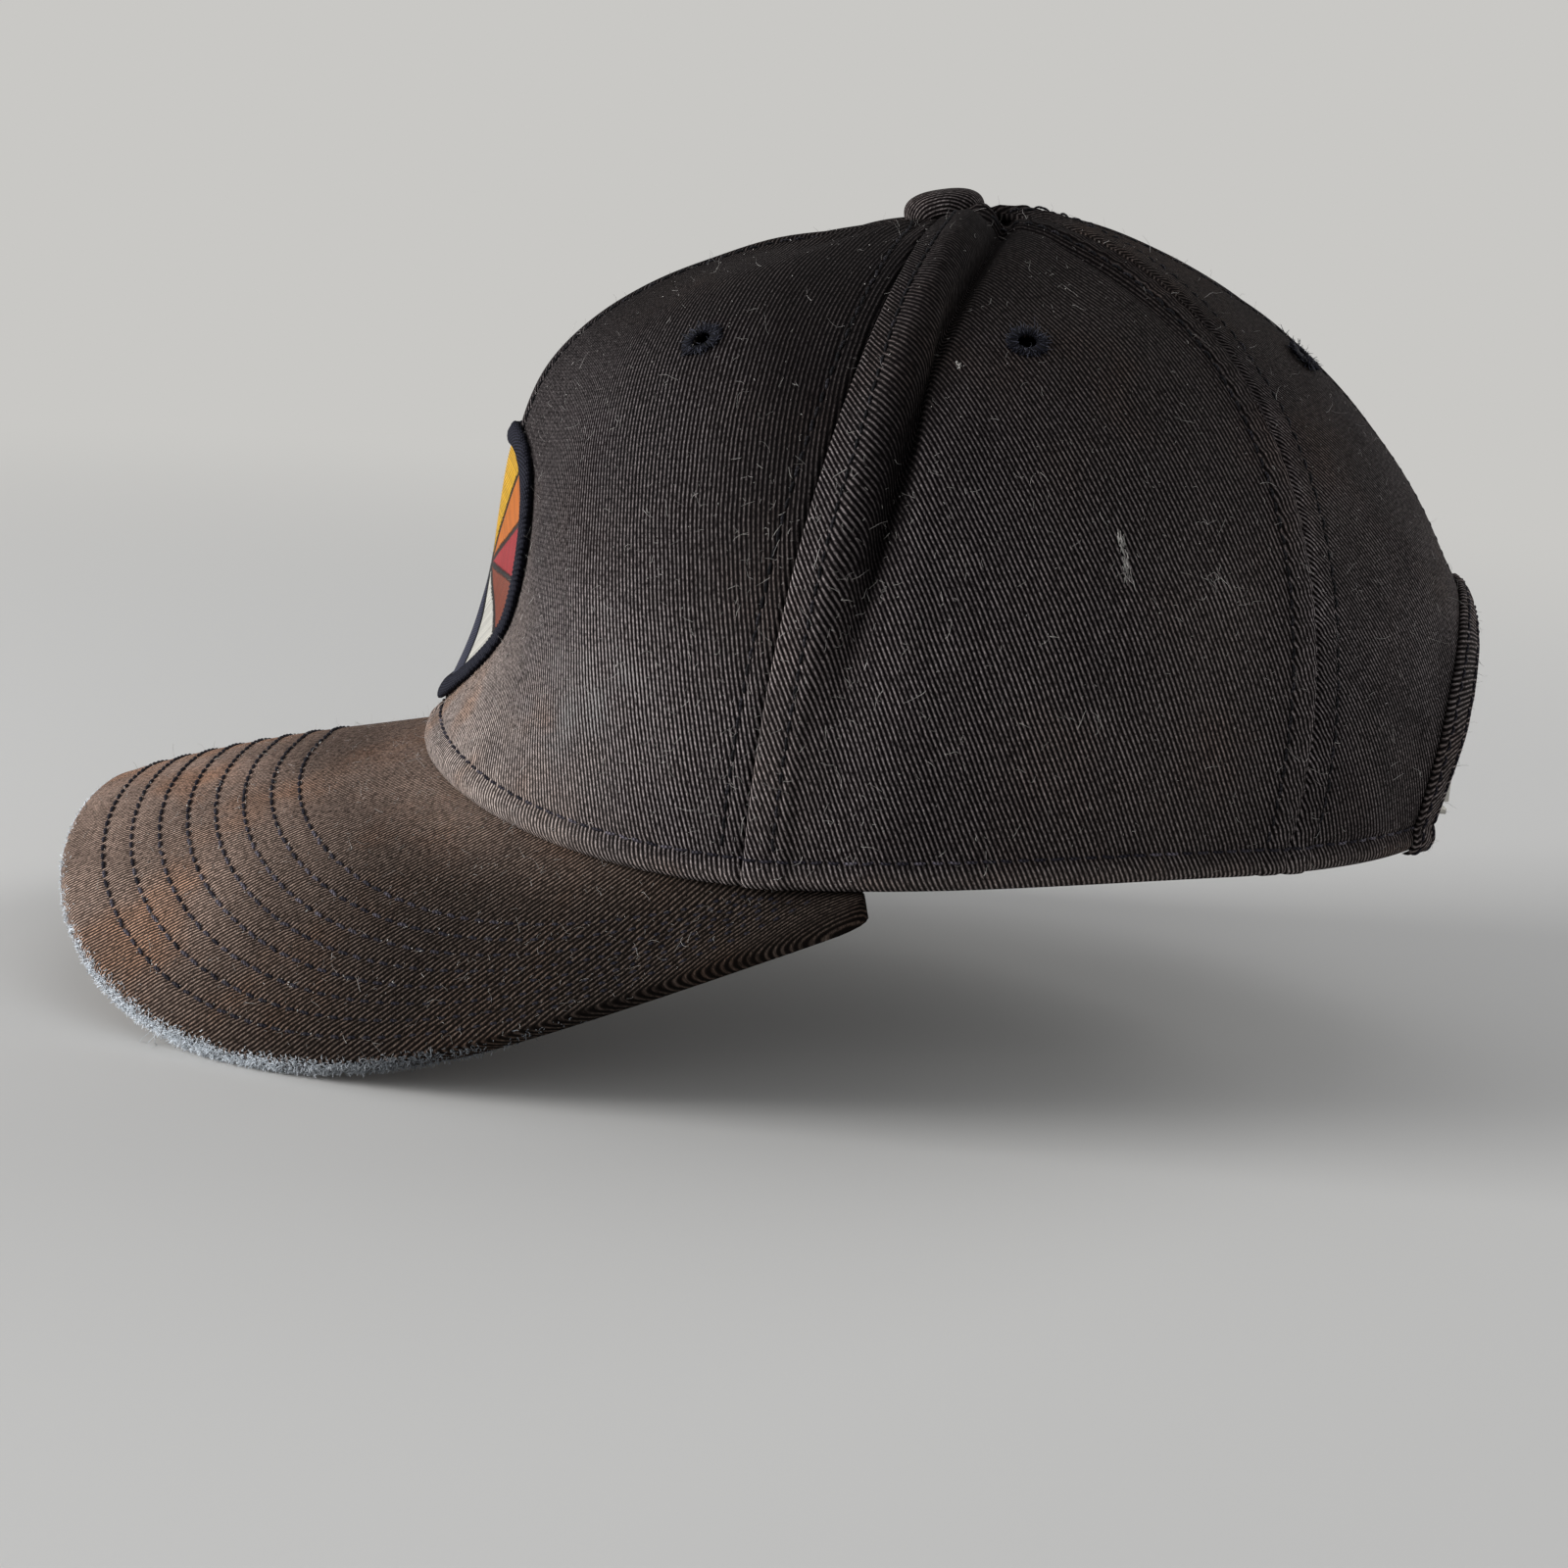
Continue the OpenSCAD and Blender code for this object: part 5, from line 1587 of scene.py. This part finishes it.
def fray(name, side, tufts):
    """Short stiff fibres in tufts along the worn edge, none lower than the visor itself."""
    tuft = rng.uniform(-80, 80, tufts)
    a = np.repeat(tuft[rng.random(tufts) < frayed(tuft)], TUFT)
    a = a + rng.normal(0, 0.4, len(a))
    p, n = visor_face(a, np.abs(rng.normal(0, 0.9, len(a))), side)
    beyond = unit(visor_edge(a) - visor(a, np.full(len(a), 0.9)))
    way = beyond * rng.uniform(0.2, 1.0, (len(a), 1)) + side * n * rng.uniform(0, 0.8, (len(a), 1))
    way = unit(way + rng.normal(0, 0.7, p.shape))
    length = rng.uniform(0.4, 1.4, len(a)) * (0.6 + 0.4 * smooth(20, 40, np.abs(a)))
    radius = rng.uniform(0.06, 0.13, len(a))
    points, quads = hairs(p - side * n * 0.1, way, length, radius, 1.1, FRAY_STEPS)
    pale = np.clip(rng.uniform(0.35, 1.8, len(a)), 0, 1) * (1 - 0.8 * smooth(56, 72, np.abs(a)))
    piece(name, (above_low(points), quads), fray_hair, "visor_twill",
          fade=np.repeat(pale, FRAY_STEPS * HAIR_SIDES))
    print(name, len(a))


fray("frayed_edge", 1, 1450)
fray("frayed_underside", -1, 950)
p, n = visor_face(np.array([44.5, 45.2, 43.9]), np.zeros(3), 1)
points, quads = hairs(p, np.array([[0.2, 0.1, -1.0], [0.1, -0.3, -1.0], [0.3, 0.4, -0.8]]),
                      np.array([9.0, 6.5, 4.0]), np.array([0.07, 0.06, 0.06]), 0.22, steps=24)
piece("loose_thread", (above_low(points), quads), fray_hair, "visor_twill",
      fade=np.full(len(points), 0.7))
many = 130
pick = rng.integers(0, len(arch_at), many)
p = hem_point(arch_at[pick], arch_out[pick], rng.uniform(-0.6, 0.6, many), np.full(many, 1.0))
way = np.stack([-0.6 * arch_out[pick, 0], rng.normal(0.4, 0.4, many), -0.6 * arch_out[pick, 1]], -1)
way = unit(way + rng.normal(0, 0.5, (many, 3)))
piece("frayed_arch", hairs(p, way, rng.uniform(0.8, 3.2, many), rng.uniform(0.03, 0.06, many), 0.3),
      lint_and_glint_hair, "twill")


# %% Strands in the eyelets
many = 130
strands = []
for side in (1, -1):
    for place in EYELETS.values():
        c, n, x, y = crown_frame(*place)
        th = rng.uniform(0, 2 * np.pi, many)
        ray = np.cos(th)[:, None] * x + np.sin(th)[:, None] * y
        root = c + ray * rng.uniform(1.4, 3.0, (many, 1)) + n * rng.uniform(0.1, 0.8, (many, 1))
        way = ray + n * rng.normal(0.05, 0.2, (many, 1)) + rng.normal(0, 0.2, ray.shape)
        strands.append((mirrored(root, side), mirrored(unit(way), side)))
root, way = (np.concatenate(v) for v in zip(*strands))
length, radius = rng.uniform(0.9, 2.4, len(root)), rng.uniform(0.05, 0.12, len(root))
piece("eyelet_strands", hairs(root, way, length, radius, 0.2), eyelet_fibre, "thread")
print("strands", len(root))


# %% Scuffs
SCUFF = [44, 14, 12]
share = rng.random(SCUFF[0])
a = np.concatenate([111.9 + 0.4 * share + rng.normal(0, 0.25, SCUFF[0]),
                    rng.normal(121.8, 0.9, SCUFF[1]), rng.normal(94.3, 0.25, SCUFF[2])])
t = np.concatenate([0.371 - 0.06 * share, rng.normal(0.315, 0.008, SCUFF[1]),
                    rng.normal(0.569, 0.003, SCUFF[2])])
p, n = on_cloth(a, t)
down = unit(crown(np.array([112.3]), np.array([0.311])) - crown(np.array([111.9]), np.array([0.371])))
loose = np.repeat([0.06, 1.0, 1.0], SCUFF)[:, None]
way = unit(down + loose * 2 * rng.normal(0, 1, p.shape))
length = np.repeat([2.2, 2.6, 0.7], SCUFF) * rng.uniform(0.5, 1.2, sum(SCUFF))
radius, curl = np.repeat([0.07, 0.045, 0.13], SCUFF), np.repeat([0.05, 0.5, 0.6], SCUFF)
piece("scuffs", hairs(p + n * 0.15, way, length, radius, curl), lint_and_glint_hair, "twill")
print("scuffs", len(p))


# %% [markdown]
# ## Camera, light and floor
# The camera stands at the wearer's left, a little above the rim and rolled by a few degrees. A large
# lamp in front of the visor acts as a window; three weak ones fill the shadows. An HDR picture of a
# room could light the scene, but soft square lamps need no file. The floor fades into the wall's
# colour far out, so that no horizon crosses the picture.

# %% Camera and lamps
PITCH, AZIMUTH, ROLL = np.radians([12, -3, 4.4])
AIM, AWAY = np.array([0, -27.87, 1]), 600
SENSOR, FOCAL_PIXELS, FRAME_PIXELS = 36, 3138, 1600


def camera():
    """A camera that looks at its aim along the pitch and azimuth, rolled about its axis."""
    back = np.array([np.cos(PITCH) * np.cos(AZIMUTH), -np.cos(PITCH) * np.sin(AZIMUTH), np.sin(PITCH)])
    right = unit(np.cross(-back, [0, 0, 1]))
    up = np.cross(right, -back)
    x = np.cos(ROLL) * right + np.sin(ROLL) * up
    y = np.cos(ROLL) * up - np.sin(ROLL) * right
    data = bpy.data.cameras.new("camera")
    data.sensor_width, data.lens = SENSOR, SENSOR * FOCAL_PIXELS / FRAME_PIXELS
    made = bpy.data.objects.new("camera", data)
    axes = Matrix(np.stack([x, y, back], -1).tolist()).to_4x4()
    made.matrix_world = Matrix.Translation((AIM + AWAY * back) * MM) @ axes
    bpy.context.scene.collection.objects.link(made)
    bpy.context.scene.camera = made


def lamp(name, place, aim, size, watts):
    """A square lamp at a place in metres, turned to its aim."""
    data = bpy.data.lights.new(name, "AREA")
    data.shape, data.size, data.energy = "SQUARE", size, watts
    made = bpy.data.objects.new(name, data)
    made.location = place
    made.rotation_euler = (Vector(aim) - Vector(place)).to_track_quat("-Z", "Y").to_euler()
    bpy.context.scene.collection.objects.link(made)


camera()
lamp("window", (0.45, -1.5, 0.42), (0, -0.03, 0.03), size=0.8, watts=29)
lamp("fill", (1.3, 0.8, 0.7), (0, 0, 0.04), size=1.2, watts=4)
lamp("rear", (-1.0, 1.3, 0.7), (0, 0, 0.04), size=1.2, watts=13)
lamp("top", (-0.5, 0.1, 1.4), (0, 0, 0.05), size=1.0, watts=1.5)
print("lens", round(bpy.context.scene.camera.data.lens, 1), "mm; lamps", len(bpy.data.lights))


# %% Wall and floor
WALL = paint("c9c8c5")
FLOOR_HALF = 6000


class Sky(Shader):
    """The shader calls, on the nodes of a world."""

    def __init__(self, world):
        world.use_nodes = True
        self.tree = world.node_tree


world = bpy.data.worlds.new("studio")
sky = Sky(world)
soft = sky.node("Background", None, {0: (0.9, 0.93, 1, 1), 1: 0.21})
wall = sky.node("Background", None, {0: WALL, 1: 1.0})
mixed = sky.node("MixShader", None, {0: sky.seen(), 1: soft.outputs[0], 2: wall.outputs[0]})
sky.put(sky.tree.nodes["World Output"].inputs[0], mixed.outputs[0])
bpy.context.scene.world = world
bpy.context.scene.view_settings.view_transform = "Standard"

ground = Shader("floor", Roughness=0.9)
ground.finish(paint("d9d8d5"))
away = ground.node("VectorMath", dict(operation="LENGTH"), {0: ground.place()}).outputs["Value"]
glow = ground.node("Emission", None, {0: WALL})
far_off = Value(ground, away).smooth(0.3, 1.0) * ground.seen()
mixed = ground.node("MixShader", None, {0: far_off, 1: ground.surface.outputs[0], 2: glow.outputs[0]})
ground.put(ground.tree.nodes["Material Output"].inputs[0], mixed.outputs[0])
x, y = np.meshgrid([-FLOOR_HALF, FLOOR_HALF], [-FLOOR_HALF, FLOOR_HALF])
under = np.stack([x, y, np.full_like(x, min(cad_box[0][2] / MM, LOW), float)], -1)
floor = bpy.data.objects.new("floor", mesh("floor", under, grid(2, 2)))
floor.data.materials.append(ground.material)
bpy.context.scene.collection.objects.link(floor)
print("floor at", round(under[0, 0, 2], 1), "mm")
